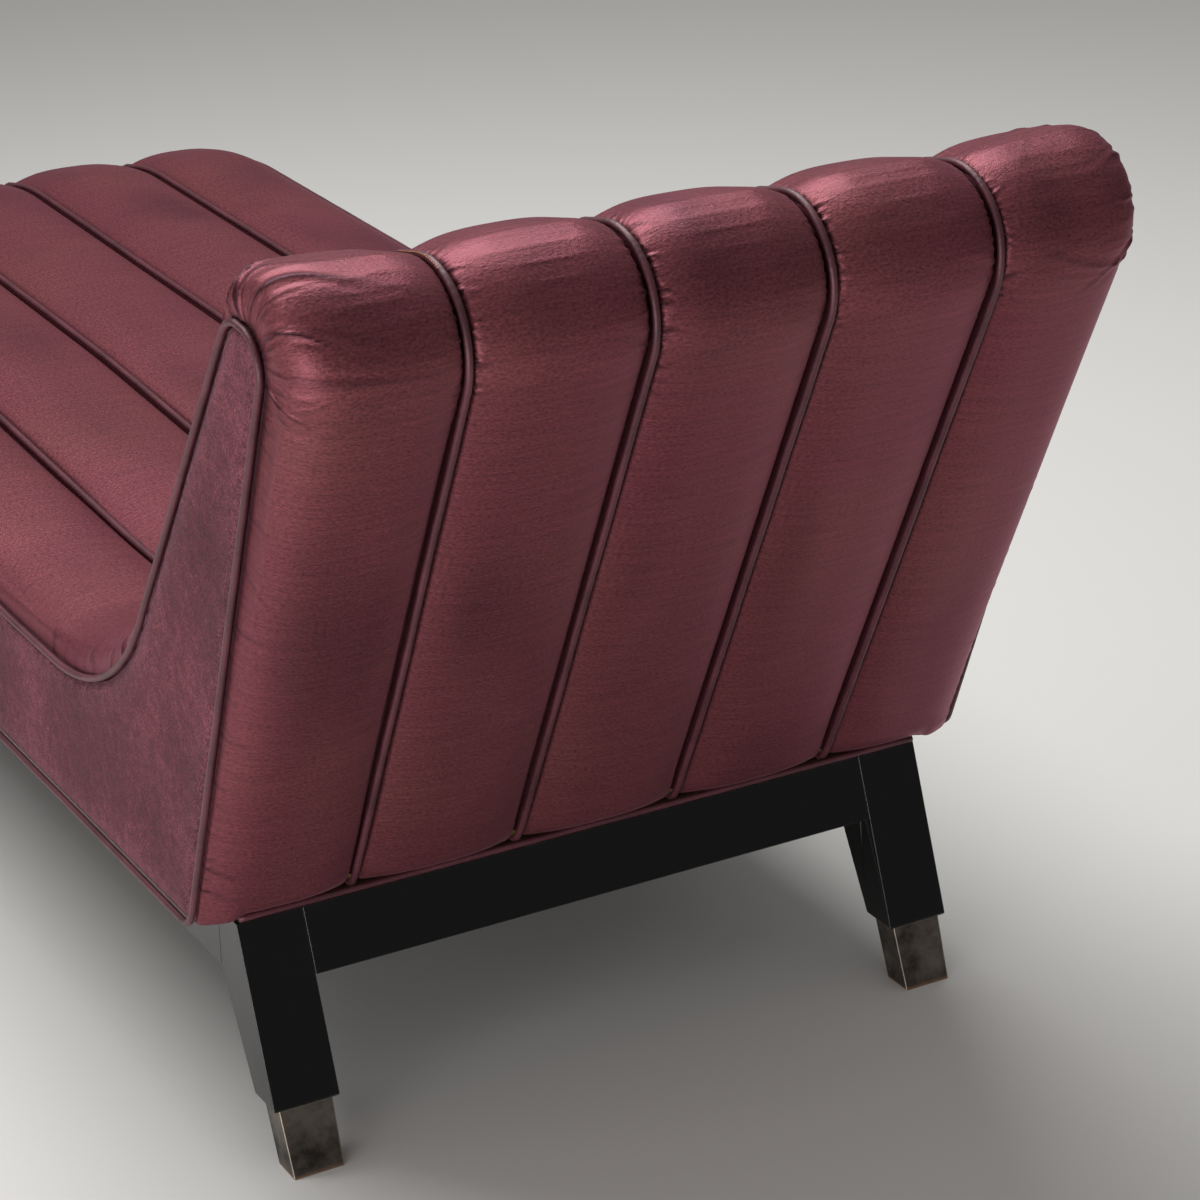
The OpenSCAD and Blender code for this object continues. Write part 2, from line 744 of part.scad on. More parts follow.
module shoulder_roll() {
    color(foam_tone) place() across(-frame_out_x, frame_out_x) difference() {
        intersection() {
            polygon(concat(
                [rear_line(board_in, body_z + frame_rise)],
                [seam[first_shoulder] - board_in * rear_out],
                slice(moved_in(pad_t + fit), first_shoulder, last_nose),
                [seam[last_nose] - (foam_in + fit) * seam_out[last_nose]],
                [seam[last_nose + 1] - (foam_in + fit) * seam_out[last_nose]]));
            translate([0, body_z + frame_rise + fit]) square([2 * back_lean_depth, back_rise]);
        }
    }
}

// Cover: channels, welts and side panels

inner_xs = [for (i = [0:3]) (1.5 - i) * channel_w];
channel_edge_x = seam_x - welt_r - fit;
crown_steps = 8;
crown_power_share = 2.5;
edge_power_share = 4;

// Share t of a channel's width at step j, from -1 to 1, with the steps closer together at the seams
function at_share(j) = -cos(180 * j / crown_steps);

// How far a channel stands out at share t of its width, from -1 to 1
function crown(t) = channel_crown * (1 - pow(abs(t), crown_power_share));

// How much of its swell an outer channel keeps at share t, full at its inner seam and none at the side seam
function edge(t) = pow(1 - pow((1 + t) / 2, edge_power_share), 1 / edge_power_share);

// How much of the shoulder's extra bulge an outer channel has at station k and share t
puff_power_share = 3;
function puff(k, t) = sin(180 * min(k / last_nose, 1)) * pow((1 + t) / 2, puff_power_share) * edge(t);

// A ring of an inner channel between seams at a and b, at station k
function inner_ring(a, b, k) =
    let (p = inner[k], n = inner_out[k], back = seam[k] - pad_t * seam_out[k], low = p - groove_d * n)
    concat(
        [[a + fit / 2, back[0], back[1]], [a + fit / 2, low[0], low[1]]],
        [for (j = [0:crown_steps])
            let (t = at_share(j), x = (a + b) / 2 + t * ((b - a) / 2 - welt_r - fit),
                q = p + (crown(t) + over) * n)
            [x, q[0], q[1]]],
        [[b - fit / 2, low[0], low[1]], [b - fit / 2, back[0], back[1]]]);

// A ring of an outer channel from its inner seam at a to the side seam
function outer_ring(a, k) =
    let (s = seam[k], so = seam_out[k], p = inner[k], n = inner_out[k], back = s - pad_t * so,
        low = p - groove_d * n, edge = s - welt_r * so)
    concat(
        [[a + fit / 2, back[0], back[1]], [a + fit / 2, low[0], low[1]]],
        [for (j = [0:crown_steps])
            let (t = at_share(j), half = (channel_edge_x - a - welt_r - fit) / 2,
                x = a + welt_r + fit + half * (1 + t) + side_puff * puff(k, t),
                q = s + (p - s) * edge(t) + (crown(t) + over * (1 - t) / 2 + shoulder_puff * puff(k, t)) * n)
            [x, q[0], q[1]]],
        [[channel_edge_x, edge[0], edge[1]], [frame_out_x, edge[0], edge[1]], [frame_out_x, back[0], back[1]]]);

module channel(i) {
    color(satin) place() {
        if (i == 1) skin([for (k = [0:last]) outer_ring(inner_xs[0], k)]);
        if (i == 5) mirror([1, 0, 0]) skin([for (k = [0:last]) outer_ring(inner_xs[0], k)]);
        if (i > 1 && i < 5) skin([for (k = [0:last]) inner_ring(inner_xs[i - 1], inner_xs[i - 2], k)]);
    }
}

// A welt is a tube that follows a path in the side view
tube_sides = 6;
function tube_ring(x, p, n) =
    [for (j = [0:tube_sides - 1])
        let (a = 360 * j / tube_sides, q = p + welt_r * sin(a) * n)
        [x + welt_r * cos(a), q[0], q[1]]];

module inner_welt(i) {
    color(welt_tone) place()
        skin([for (k = [0:last]) tube_ring(inner_xs[i - 1], inner[k] + body_gap * inner_out[k], inner_out[k])]);
}

// The side welt closes its loop along the lower edge of the side panel
corner_r = 3 * welt_d;
corner_steps = 4;
lower_front = at_height(front_foot, foot_top, body_z + welt_r);
lower_rear = at_height(rear_foot, shoulder, body_z + welt_r);
lower_path = concat(
    arc(seam[last - 1], lower_front, lower_rear, corner_r, corner_steps),
    arc(lower_front, lower_rear, seam[1], corner_r, corner_steps));
loop = concat(slice(seam, 1, last - 1), lower_path);
function loop_out(k) =
    let (m = len(loop), a = loop[(k + m - 1) % m], b = loop[k], c = loop[(k + 1) % m])
    unit(outward(unit(b - a)) + outward(unit(c - b)));
loop_normals = [for (k = [0:len(loop) - 1]) loop_out(k)];

module side_welt(side) {
    color(welt_tone) place() mirror([side < 0 ? 1 : 0, 0, 0])
        skin([for (k = [0:len(loop) - 1]) tube_ring(seam_x, loop[k], loop_normals[k])],
            closed = true);
}

module side_panel(side) {
    color(velvet) place() mirror([side < 0 ? 1 : 0, 0, 0])
        across(panel_in_x, panel_out_x)
            polygon([for (k = [0:len(loop) - 1]) loop[k] - (welt_r + fit) * loop_normals[k]]);
}

module bottom_welt(end) {
    color(welt_tone) place() corner(1, end)
        translate([0, half_len - body_lip + low_swell / 2, rail_top + fit + welt_r])
            rotate([0, 90, 0])
                cylinder(h = base_w - leg_w, d = welt_d, center = true);
}

cover_tacks_count = 12;
cover_tack_pitch = (body_len - 2 * rail_d) / (cover_tacks_count - 1);

module cover_tack_shapes(extra) {
    for (i = [0:cover_tacks_count - 1])
        translate([frame_in_x + side_frame_t / 2, -rail_d - i * cover_tack_pitch, rail_top + fit - tack_head_h]) {
            cylinder(h = cover_tack_len, d = cover_tack_d + 2 * extra * hole_gap);
            cylinder(h = tack_head_h, d = tack_head_d);
        }
}

module cover_tacks() {
    color(zinc) place() for (m = [0, 1]) mirror([m, 0, 0]) cover_tack_shapes(0);
}

module dust_cover() {
    reach = board_in + body_gap;
    color(cambric) place() difference() {
        translate([-frame_out_x, reach - body_len, rail_top + fit])
            cube([2 * frame_out_x, body_len - 2 * reach, dust_t]);
        for (m = [0, 1]) mirror([m, 0, 0]) cover_tack_shapes(1);
        all_bolt_holes();
    }
}

leg(1, 1);  // leg_rear_left
leg(-1, 1);  // leg_rear_right
leg(1, -1);  // leg_front_left
leg(-1, -1);  // leg_front_right
sabot(1, 1);  // sabot_rear_left
sabot(-1, 1);  // sabot_rear_right
sabot(1, -1);  // sabot_front_left
sabot(-1, -1);  // sabot_front_right
apron(1);  // apron_rear
apron(-1);  // apron_front
side_rail(1);  // side_rail_left
side_rail(-1);  // side_rail_right
cross_rail(1);  // cross_rail_rear
cross_rail(-1);  // cross_rail_front
corner_blocks();
base_dowels();
block_screws();
body_bolts();
sabot_screws();
side_frame(1);  // side_frame_left
side_frame(-1);  // side_frame_right
frame_rail(rear_window);  // bottom_rail_rear
frame_rail(front_window);  // bottom_rail_front
frame_rail(mid_rear_window);  // bottom_rail_mid_rear
frame_rail(mid_front_window);  // bottom_rail_mid_front
frame_rail(crook_window);  // crook_rail
frame_rail(top_window);  // top_rail
frame_rail(foot_window);  // foot_rail
back_board();
foot_board();
frame_screws();
seat_webbing();
back_webbing();
webbing_tacks();
seat_foam();
back_foam();
shoulder_roll();
channel(1);  // channel_1
channel(2);  // channel_2
channel(3);  // channel_3
channel(4);  // channel_4
channel(5);  // channel_5
inner_welt(1);  // welt_1
inner_welt(2);  // welt_2
inner_welt(3);  // welt_3
inner_welt(4);  // welt_4
side_welt(1);  // side_welt_left
side_welt(-1);  // side_welt_right
bottom_welt(1);  // bottom_welt_rear
bottom_welt(-1);  // bottom_welt_front
side_panel(1);  // side_panel_left
side_panel(-1);  // side_panel_right
dust_cover();
cover_tacks();
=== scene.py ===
"""Looks of a channelled chaise longue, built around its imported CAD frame.

Five padded channels run from the foot over the seat, up the raked back and down behind it, with piping
between them. The base is black lacquer with metal sabots. Lengths are in millimetres until a mesh is made.
"""

import json
import logging
import math
import random
from dataclasses import dataclass, field
from enum import Enum
from functools import partial
from typing import Iterable, Sequence

import bmesh
import bpy
import numpy as np
from mathutils import Matrix, Vector, noise
from mathutils.geometry import delaunay_2d_cdt


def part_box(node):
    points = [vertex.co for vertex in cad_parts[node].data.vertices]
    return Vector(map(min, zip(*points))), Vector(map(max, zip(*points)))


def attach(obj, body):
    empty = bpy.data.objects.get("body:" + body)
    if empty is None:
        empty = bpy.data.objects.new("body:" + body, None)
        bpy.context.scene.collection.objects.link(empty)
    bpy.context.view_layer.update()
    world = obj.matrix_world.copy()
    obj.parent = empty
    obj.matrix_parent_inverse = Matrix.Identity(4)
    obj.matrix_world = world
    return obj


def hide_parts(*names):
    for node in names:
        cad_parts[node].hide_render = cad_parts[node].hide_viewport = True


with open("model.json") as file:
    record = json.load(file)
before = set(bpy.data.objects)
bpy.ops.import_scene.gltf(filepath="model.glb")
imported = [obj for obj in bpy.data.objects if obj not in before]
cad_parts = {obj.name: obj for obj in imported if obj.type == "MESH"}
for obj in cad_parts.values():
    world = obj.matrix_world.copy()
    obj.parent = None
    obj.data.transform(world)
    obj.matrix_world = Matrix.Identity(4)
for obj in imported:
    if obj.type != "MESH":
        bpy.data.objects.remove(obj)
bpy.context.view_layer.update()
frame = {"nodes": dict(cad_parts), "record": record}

LOG = logging.getLogger("chaise")
MM = 0.001
ROOT_BODY = "root"

Point = tuple[float, float]
Colour = tuple[float, float, float, float]
Setting = bpy.types.NodeSocket | Colour | float | str


class Side(Enum):
    """The two sides of the chaise, as seen from behind the back."""

    LEFT = 1
    RIGHT = -1

    @property
    def word(self) -> str:
        """The side's name as the CAD nodes spell it."""
        return self.name.lower()


class End(Enum):
    """The two ends of the chaise."""

    REAR = 1
    FRONT = -1

    @property
    def word(self) -> str:
        """The end's name as the CAD nodes spell it."""
        return self.name.lower()


def linear(hex_colour: str, alpha: float = 1.0) -> Colour:
    """Turns an sRGB hex colour into the linear values that the shader takes.

    Args:
        hex_colour: Six hex digits after a hash.
        alpha: Opacity of the colour.

    Returns:
        Red, green, blue and alpha, linear.
    """

    def one(pair: str) -> float:
        """Linear value of one pair of hex digits."""
        value = int(pair, 16) / 255
        return value / 12.92 if value <= 0.04045 else ((value + 0.055) / 1.055) ** 2.4

    digits = hex_colour.lstrip("#")
    return one(digits[0:2]), one(digits[2:4]), one(digits[4:6]), alpha


def per_mm(size_mm: float) -> float:
    """Scale of a texture whose features are size_mm wide, for coordinates in metres."""
    return 1 / (size_mm * MM)


def add_node(
    tree: bpy.types.NodeTree, kind: str, *values: Setting, out: str | int = 0, **named: Setting
) -> bpy.types.NodeSocket:
    """Adds one node with its settings and links.

    Args:
        tree: The tree that takes the node.
        kind: The node's type without the ShaderNode prefix.
        *values: Values or output sockets for the node's inputs, in their order.
        out: Name or number of the output that is wanted.
        **named: Inputs by name where the first letter is a capital, otherwise properties of the node.

    Returns:
        That output.
    """
    node = tree.nodes.new("ShaderNode" + kind)
    for key, value in named.items():
        if key[0].islower():
            setattr(node, key, value)
    wanted = list(zip([socket for socket in node.inputs if socket.enabled], values))
    for key, value in named.items():
        if key[0].isupper():
            wanted.append((node.inputs[key.replace("_", " ")], value))
    for socket, value in wanted:
        feed(tree, socket, value)
    if isinstance(out, str):
        return node.outputs[out]
    return [socket for socket in node.outputs if socket.enabled][out]


def feed(tree: bpy.types.NodeTree, socket: bpy.types.NodeSocket, value: Setting) -> None:
    """Links an output to an input, or writes a plain value there.

    Args:
        tree: The tree that holds both.
        socket: The input.
        value: An output socket or a plain value.
    """
    if isinstance(value, bpy.types.NodeSocket):
        tree.links.new(value, socket)
    else:
        socket.default_value = value


def new_material(name: str) -> bpy.types.Material:
    """Makes a material that has a shader and an output.

    Args:
        name: The material's name.

    Returns:
        The material.
    """
    material = bpy.data.materials.new(name)
    material.use_nodes = True
    return material


def surface(material: bpy.types.Material, **values: Setting) -> bpy.types.Material:
    """Sets or links inputs of a material's shader.

    Args:
        material: The material.
        **values: Values or output sockets by input name, with underscores for spaces.

    Returns:
        The material.
    """
    shader = material.node_tree.nodes["Principled BSDF"]
    for key, value in values.items():
        feed(material.node_tree, shader.inputs[key.replace("_", " ")], value)
    return material


@dataclass(frozen=True)
class SatinFinish:
    """Plum satin for the channels.

    Woven so that long floats lie on its face, which gives a broad soft highlight that sparkles, and with
    faint slubs across. The weave is drawn about three times as coarse as it is, so that it shows.
    """

    name: str
    base: str = "#6f373f"
    # Colour of the painted shade in the creases and beside the seams.
    deep: str = "#16070c"
    warm: str = "#744041"
    sheen: str = "#eaaec4"
    weave_mm: float = 1.7
    slub_mm: float = 4.0
    cloud_mm: float = 150.0
    relief_mm: float = 0.6

    def build(self) -> bpy.types.Material:
        """Makes the material.

        Returns:
            The material.
        """
        material = new_material(self.name)
        add = partial(add_node, material.node_tree)
        lay = add("TexCoord", out="UV")
        place = add("TexCoord", out="Object")
        weave = add("TexNoise", add("Mapping", lay, Scale=(0.5, 1, 1)), per_mm(self.weave_mm), 3, 0.7)
        slub = add("TexNoise", add("Mapping", lay, Scale=(0.06, 1, 1)), per_mm(self.slub_mm), 3, 0.6)
        cloud = add("TexNoise", place, per_mm(self.cloud_mm), 2, 0.5)
        warmth = add("MapRange", cloud, 0.25, 0.75)
        tone = add("Mix", warmth, linear(self.base), linear(self.warm), data_type="RGBA")
        slubs = add("Math", slub, 0.25, operation="MULTIPLY")
        grain = add("Math", weave, 0.75, slubs, operation="MULTIPLY_ADD")
        lift = add("MapRange", grain, 0.36, 0.64, 0.55, 1.45)
        shade = add("CombineColor", lift, lift, lift)
        tone = add("Mix", 1.0, tone, shade, data_type="RGBA", blend_type="MULTIPLY")
        # Painted shade: the cloth is mixed towards the deep colour in its creases and beside its seams.
        crease = add("Math", add("Attribute", out="Fac", attribute_name="crease"), 0.9, operation="MULTIPLY")
        return surface(
            material,
            Base_Color=add("Mix", crease, tone, linear(self.deep), data_type="RGBA"),
            Metallic=0.5,
            Roughness=add("MapRange", weave, 0.3, 0.7, 0.33, 0.5),
            Specular_IOR_Level=0.8,
            Specular_Tint=linear("#ffb4cc"),
            Sheen_Weight=0.16,
            Sheen_Roughness=0.3,
            Sheen_Tint=linear(self.sheen),
            Normal=add("Bump", Height=grain, Distance=self.relief_mm * MM, Strength=1.0),
        )


@dataclass(frozen=True)
class VelvetFinish:
    """Plum velvet for the side panels.

    Cut pile scatters light at a grazing angle, so it looks mottled and speckled, with a few specks of lint.
    Beside
    the piping it is painted paler: partly pile that is pressed there, partly a painted sheen on the rolled
    rim. The pile is drawn about four times as coarse as it is, so that it shows.
    """

    name: str
    base: str = "#56252e"
    dark: str = "#431b23"
    light: str = "#6c343e"
    # Paler colour beside the piping: partly pressed pile, partly a painted sheen on the rolled rim.
    rim: str = "#865463"
    lint: str = "#d8b9a8"
    sheen: str = "#d99fb2"
    mottle_mm: float = 9.0
    pile_mm: float = 1.9
    bruise_mm: float = 150.0
    lint_mm: float = 26.0
    relief_mm: float = 0.5

    def build(self) -> bpy.types.Material:
        """Makes the material.

        Returns:
            The material.
        """
        material = new_material(self.name)
        add = partial(add_node, material.node_tree)
        place = add("TexCoord", out="Object")
        mottle = add("TexNoise", place, per_mm(self.mottle_mm), 4, 0.6)
        pile = add("TexNoise", place, per_mm(self.pile_mm), 3, 0.75)
        bruise = add("TexNoise", place, per_mm(self.bruise_mm), 2, 0.5)
        bruised = add("Math", bruise, 0.55, operation="MULTIPLY")
        nap = add("Math", mottle, 0.45, bruised, operation="MULTIPLY_ADD")
        low = add("MapRange", nap, 0.38, 0.5)
        high = add("MapRange", nap, 0.5, 0.62)
        tone = add("Mix", low, linear(self.dark), linear(self.base), data_type="RGBA")
        tone = add("Mix", high, tone, linear(self.light), data_type="RGBA")
        patches = add("MapRange", mottle, 0.3, 0.6, 0.2, 0.5)
        # Paler rim beside the piping in mottled patches: partly pressed pile, partly painted sheen.
        pressed = add("Attribute", out="Fac", attribute_name="pressed")
        worn = add("Math", pressed, patches, operation="MULTIPLY")
        tone = add("Mix", worn, tone, linear(self.rim), data_type="RGBA")
        lift = add("MapRange", pile, 0.38, 0.64, 0.4, 1.75)
        speckle = add("CombineColor", lift, lift, lift)
        tone = add("Mix", 1.0, tone, speckle, data_type="RGBA", blend_type="MULTIPLY")
        flecks = add("MapRange", add("TexVoronoi", place, per_mm(self.lint_mm)), 0.03, 0.018, 0, 0.7)
        softer = add("Math", mottle, 0.4, operation="MULTIPLY")
        height = add("Math", pile, 0.6, softer, operation="MULTIPLY_ADD")
        return surface(
            material,
            Base_Color=add("Mix", flecks, tone, linear(self.lint), data_type="RGBA"),
            Roughness=0.85,
            Specular_IOR_Level=0.3,
            Sheen_Weight=0.14,
            Sheen_Roughness=0.4,
            Sheen_Tint=linear(self.sheen),
            Normal=add("Bump", Height=height, Distance=self.relief_mm * MM, Strength=1.0),
        )


@dataclass(frozen=True)
class PipingFinish:
    """Satin cut on the bias and sewn round a cord.

    Its weave runs at a slant, and scattered floats of it are paler.
    """

    name: str
    base: str = "#5e2c36"
    deep: str = "#431d25"
    rubbed: str = "#b98494"
    weave_mm: float = 0.9
    worn_mm: float = 45.0
    relief_mm: float = 0.15

    def build(self) -> bpy.types.Material:
        """Makes the material.

        Returns:
            The material.
        """
        material = new_material(self.name)
        add = partial(add_node, material.node_tree)
        slant = add("Mapping", add("TexCoord", out="UV"), Scale=(1, 0.2, 1))
        weave = add("TexNoise", slant, per_mm(self.weave_mm), 3, 0.6)
        patches = add("TexNoise", add("TexCoord", out="Object"), per_mm(self.worn_mm), 3)
        worn = add("MapRange", patches, 0.35, 0.7)
        tone = add("Mix", worn, linear(self.base), linear(self.deep), data_type="RGBA")
        floats = add("MapRange", weave, 0.5, 0.8, 0, 0.16)
        return surface(
            material,
            Base_Color=add("Mix", floats, tone, linear(self.rubbed), data_type="RGBA"),
            Metallic=0.2,
            Roughness=add("MapRange", weave, 0.3, 0.7, 0.4, 0.52),
            Specular_IOR_Level=0.6,
            Sheen_Weight=0.02,
            Sheen_Roughness=0.35,
            Sheen_Tint=linear(self.rubbed),
            Normal=add("Bump", Height=weave, Distance=self.relief_mm * MM, Strength=1.0),
        )


@dataclass(frozen=True)
class LacquerFinish:
    """Gloss black lacquer, sprayed and rubbed out on beech.

    It mirrors softly, with a slight ripple, faint rubbed lines along its edges and a few chips down to the
    timber.
    """

    name: str
    black: str = "#040405"
    haze: str = "#0e0d0e"
    rubbed: str = "#201f1e"
    timber: str = "#6b4e37"
    ripple_mm: float = 60.0
    scuff_mm: float = 14.0
    chip_mm: float = 7.0
    relief_mm: float = 0.5

    def build(self) -> bpy.types.Material:
        """Makes the material.

        Returns:
            The material.
        """
        material = new_material(self.name)
        add = partial(add_node, material.node_tree)
        place = add("TexCoord", out="Object")
        ripple = add("TexNoise", place, per_mm(self.ripple_mm), 2, 0.5)
        scuff = add("TexNoise", place, per_mm(self.scuff_mm), 4, 0.65)
        chip = add("TexNoise", place, per_mm(self.chip_mm), 4, 0.75)
        edge = add("Attribute", out="Fac", attribute_name="edge")
        streaks = add("MapRange", scuff, 0.46, 0.64, 0.05, 0.6)
        worn = add("Math", add("MapRange", edge, 0.55, 0.95), streaks, operation="MULTIPLY")
        knocks = add("MapRange", chip, 0.72, 0.74)
        chipped = add("Math", add("MapRange", edge, 0.35, 0.8), knocks, operation="MULTIPLY")
        hazy = add("MapRange", scuff, 0.5, 0.8, 0, 0.6)
        tone = add("Mix", hazy, linear(self.black), linear(self.haze), data_type="RGBA")
        tone = add("Mix", worn, tone, linear(self.rubbed), data_type="RGBA")
        mirror = add("MapRange", ripple, 0.3, 0.7, 0.12, 0.2)
        gloss = add("Math", worn, 0.15, mirror, operation="MULTIPLY_ADD")
        gloss = add("Math", chipped, 0.4, gloss, operation="MULTIPLY_ADD")
        height = add("Math", chipped, -0.3, ripple, operation="MULTIPLY_ADD")
        return surface(
            material,
            Base_Color=add("Mix", chipped, tone, linear(self.timber), data_type="RGBA"),
            Roughness=gloss,
            Specular_IOR_Level=0.35,
            Coat_Weight=0.2,
            Coat_Roughness=0.05,
            Normal=add("Bump", Height=height, Distance=self.relief_mm * MM, Strength=1.0),
        )


@dataclass(frozen=True)
class SabotFinish:
    """Nickel plated brass, cast and polished, then left to darken.

    Its faces are clouded grey-brown, its edges are rubbed paler and its foot shows a thin line of copper.
    """

    name: str
    plate: str = "#7c736a"
    dark: str = "#38332f"
    copper: str = "#a77a5e"
    bright: str = "#a79c8d"
    cloud_mm: float = 30.0
    spot_mm: float = 5.0
    scratch_mm: float = 0.8
    foot_mm: float = 3.0
    relief_mm: float = 0.03

    def build(self) -> bpy.types.Material:
        """Makes the material.

        Returns:
            The material.
        """
        material = new_material(self.name)
        add = partial(add_node, material.node_tree)
        place = add("TexCoord", out="Object")
        cloud = add("TexNoise", place, per_mm(self.cloud_mm), 4, 0.55)
        spot = add("TexNoise", place, per_mm(self.spot_mm), 3, 0.6)
        scratch = add("TexNoise", add("Mapping", place, Scale=(1, 1, 0.06)), per_mm(self.scratch_mm), 2, 0.6)
        spots = add("Math", spot, 0.2, operation="MULTIPLY")
        patina = add("Math", cloud, 0.8, spots, operation="MULTIPLY_ADD")
        clouded = add("MapRange", patina, 0.38, 0.66)
        tone = add("Mix", clouded, linear(self.dark), linear(self.plate), data_type="RGBA")
        height = add("SeparateXYZ", place, out="Z")
        ragged = add("Math", spot, self.foot_mm * MM, height, operation="MULTIPLY_ADD")
        low = add("MapRange", ragged, self.foot_mm * MM, self.foot_mm * 1.6 * MM, 0.6, 0)
        tone = add("Mix", low, tone, linear(self.copper), data_type="RGBA")
        rubbed = add("MapRange", add("Attribute", out="Fac", attribute_name="edge"), 0.6, 1.0, 0, 0.55)
        marks = add("Math", scratch, spot, operation="ADD")
        return surface(
            material,
            Base_Color=add("Mix", rubbed, tone, linear(self.bright), data_type="RGBA"),
            Metallic=0.9,
            Roughness=add("MapRange", patina, 0.35, 0.65, 0.42, 0.28),
            Normal=add("Bump", Height=marks, Distance=self.relief_mm * MM, Strength=1.0),
        )


@dataclass(frozen=True)
class ThreadFinish:
    """Ochre sewing thread, whose twist catches the light as small paler strands."""

    name: str
    colour: str = "#c4703a"
    strand: str = "#d99a66"
    twist_mm: float = 0.4
    relief_mm: float = 0.05

    def build(self) -> bpy.types.Material:
        """Makes the material.

        Returns:
            The material.
        """
        material = new_material(self.name)
        add = partial(add_node, material.node_tree)
        twist = add("TexNoise", add("TexCoord", out="Object"), per_mm(self.twist_mm))
        return surface(
            material,
            Base_Color=add("Mix", twist, linear(self.colour), linear(self.strand), data_type="RGBA"),
            Roughness=0.6,
            Normal=add("Bump", Height=twist, Distance=self.relief_mm * MM, Strength=1.0),
        )


@dataclass(frozen=True)
class TimberFinish:
    """Bare timber or board, whose grain gives fine darker streaks, with plies as bands where it has them."""

    name: str
    light: str
    dark: str
    grain_mm: float = 2.5
    along: tuple[float, float, float] = (0.04, 1, 1)
    plies: bool = False
    cloud_mm: float = 70.0
    ply_mm: float = 20.0
    relief_mm: float = 0.1

    def build(self) -> bpy.types.Material:
        """Makes the material.

        Returns:
            The material.
        """
        material = new_material(self.name)
        add = partial(add_node, material.node_tree)
        place = add("TexCoord", out="Object")
        grain = add("TexNoise", add("Mapping", place, Scale=self.along), per_mm(self.grain_mm), 4, 0.6)
        cloud = add("MapRange", add("TexNoise", place, per_mm(self.cloud_mm)), 0.4, 0.7, 0, 0.3)
        streaks = add("MapRange", grain, 0.35, 0.65)
        tone = add("Mix", streaks, linear(self.light), linear(self.dark), data_type="RGBA")
        tone = add("Mix", cloud, tone, linear(self.dark), data_type="RGBA")
        if self.plies:
            wave = add("TexWave", place, per_mm(self.ply_mm) / math.tau, 0.4, out="Fac")
            bands = add("MapRange", wave, 0.4, 0.6, 0, 0.35)
            tone = add("Mix", bands, tone, linear(self.dark), data_type="RGBA")
        relief = add("Bump", Height=grain, Distance=self.relief_mm * MM, Strength=1.0)
        return surface(material, Base_Color=tone, Roughness=0.62, Normal=relief)


@dataclass(frozen=True)
class PlainWeaveFinish:
    """Webbing or cambric in a plain weave, which gives a fine chequer of lit threads."""

    name: str
    colour: str
    light: str
    thread_mm: float = 1.2
    relief_mm: float = 0.2

    def build(self) -> bpy.types.Material:
        """Makes the material.

        Returns:
            The material.
        """
        material = new_material(self.name)
        add = partial(add_node, material.node_tree)
        place = add("TexCoord", out="Object")
        scale = per_mm(self.thread_mm) / math.tau
        warp = add("TexWave", place, scale, out="Fac", bands_direction="X")
        weft = add("TexWave", place, scale, out="Fac", bands_direction="Y")
        weave = add("Math", warp, weft, operation="MULTIPLY")
        tone = add("Mix", weave, linear(self.colour), linear(self.light), data_type="RGBA")
        relief = add("Bump", Height=weave, Distance=self.relief_mm * MM, Strength=1.0)
        return surface(material, Base_Color=tone, Roughness=0.85, Normal=relief)


@dataclass(frozen=True)
class FoamFinish:
    """Open cell latex foam, yellowed with age in patches, with cells that make it look matt and pitted."""

    name: str
    pale: str = "#e6dcbf"
    aged: str = "#c9b486"
    cell_mm: float = 2.0
    cloud_mm: float = 50.0
    relief_mm: float = 0.4

    def build(self) -> bpy.types.Material:
        """Makes the material.

        Returns:
            The material.
        """
        material = new_material(self.name)
        add = partial(add_node, material.node_tree)
        place = add("TexCoord", out="Object")
        cells = add("TexVoronoi", place, per_mm(self.cell_mm))
        cloud = add("MapRange", add("TexNoise", place, per_mm(self.cloud_mm), 3), 0.35, 0.7)
        tone = add("Mix", cloud, linear(self.pale), linear(self.aged), data_type="RGBA")
        relief = add("Bump", Height=cells, Distance=self.relief_mm * MM, Strength=1.0)
        return surface(material, Base_Color=tone, Roughness=0.9, Normal=relief)


@dataclass(frozen=True)
class ZincFinish:
    """Zinc plated steel for hidden fasteners, bright with a faint spangle."""

    name: str
    colour: str = "#9aa0a6"
    dull: str = "#6e7276"
    spangle_mm: float = 3.0
    relief_mm: float = 0.03

    def build(self) -> bpy.types.Material:
        """Makes the material.

        Returns:
            The material.
        """
        material = new_material(self.name)
        add = partial(add_node, material.node_tree)
        spangle = add("TexNoise", add("TexCoord", out="Object"), per_mm(self.spangle_mm), 4, 0.6)
        dulled = add("MapRange", spangle, 0.35, 0.65)
        tone = add("Mix", dulled, linear(self.colour), linear(self.dull), data_type="RGBA")
        relief = add("Bump", Height=spangle, Distance=self.relief_mm * MM, Strength=1.0)
        return surface(material, Base_Color=tone, Metallic=1.0, Roughness=0.38, Normal=relief)


@dataclass(frozen=True)
class FloorFinish:
    """Pale painted studio floor, rolled matt, which gives the eye an even ground."""

    name: str
    colour: str = "#d9d8d5"

    def build(self) -> bpy.types.Material:
        """Makes the material.

        Returns:
            The material.
        """
        material = new_material(self.name)
        return surface(material, Base_Color=linear(self.colour), Roughness=0.9, Specular_IOR_Level=0.2)


def eased(share: np.ndarray) -> np.ndarray:
    """Makes a rise from 0 to 1 begin and end gently, and cuts off what lies beyond."""
    share = np.clip(share, 0, 1)
    return share * share * (3 - 2 * share)


def lengths_along(points: np.ndarray, axis: int = 0) -> np.ndarray:
    """Distance of each point from the first, measured from point to point.

    Args:
        points: Points, whose coordinates are in the last axis.
        axis: The axis that counts them.

    Returns:
        The distances, from 0.
    """
    lengths = np.cumsum(np.linalg.norm(np.diff(points, axis=axis), axis=-1), axis=axis)
    return np.concatenate([np.zeros_like(lengths.take([0], axis=axis)), lengths], axis=axis)


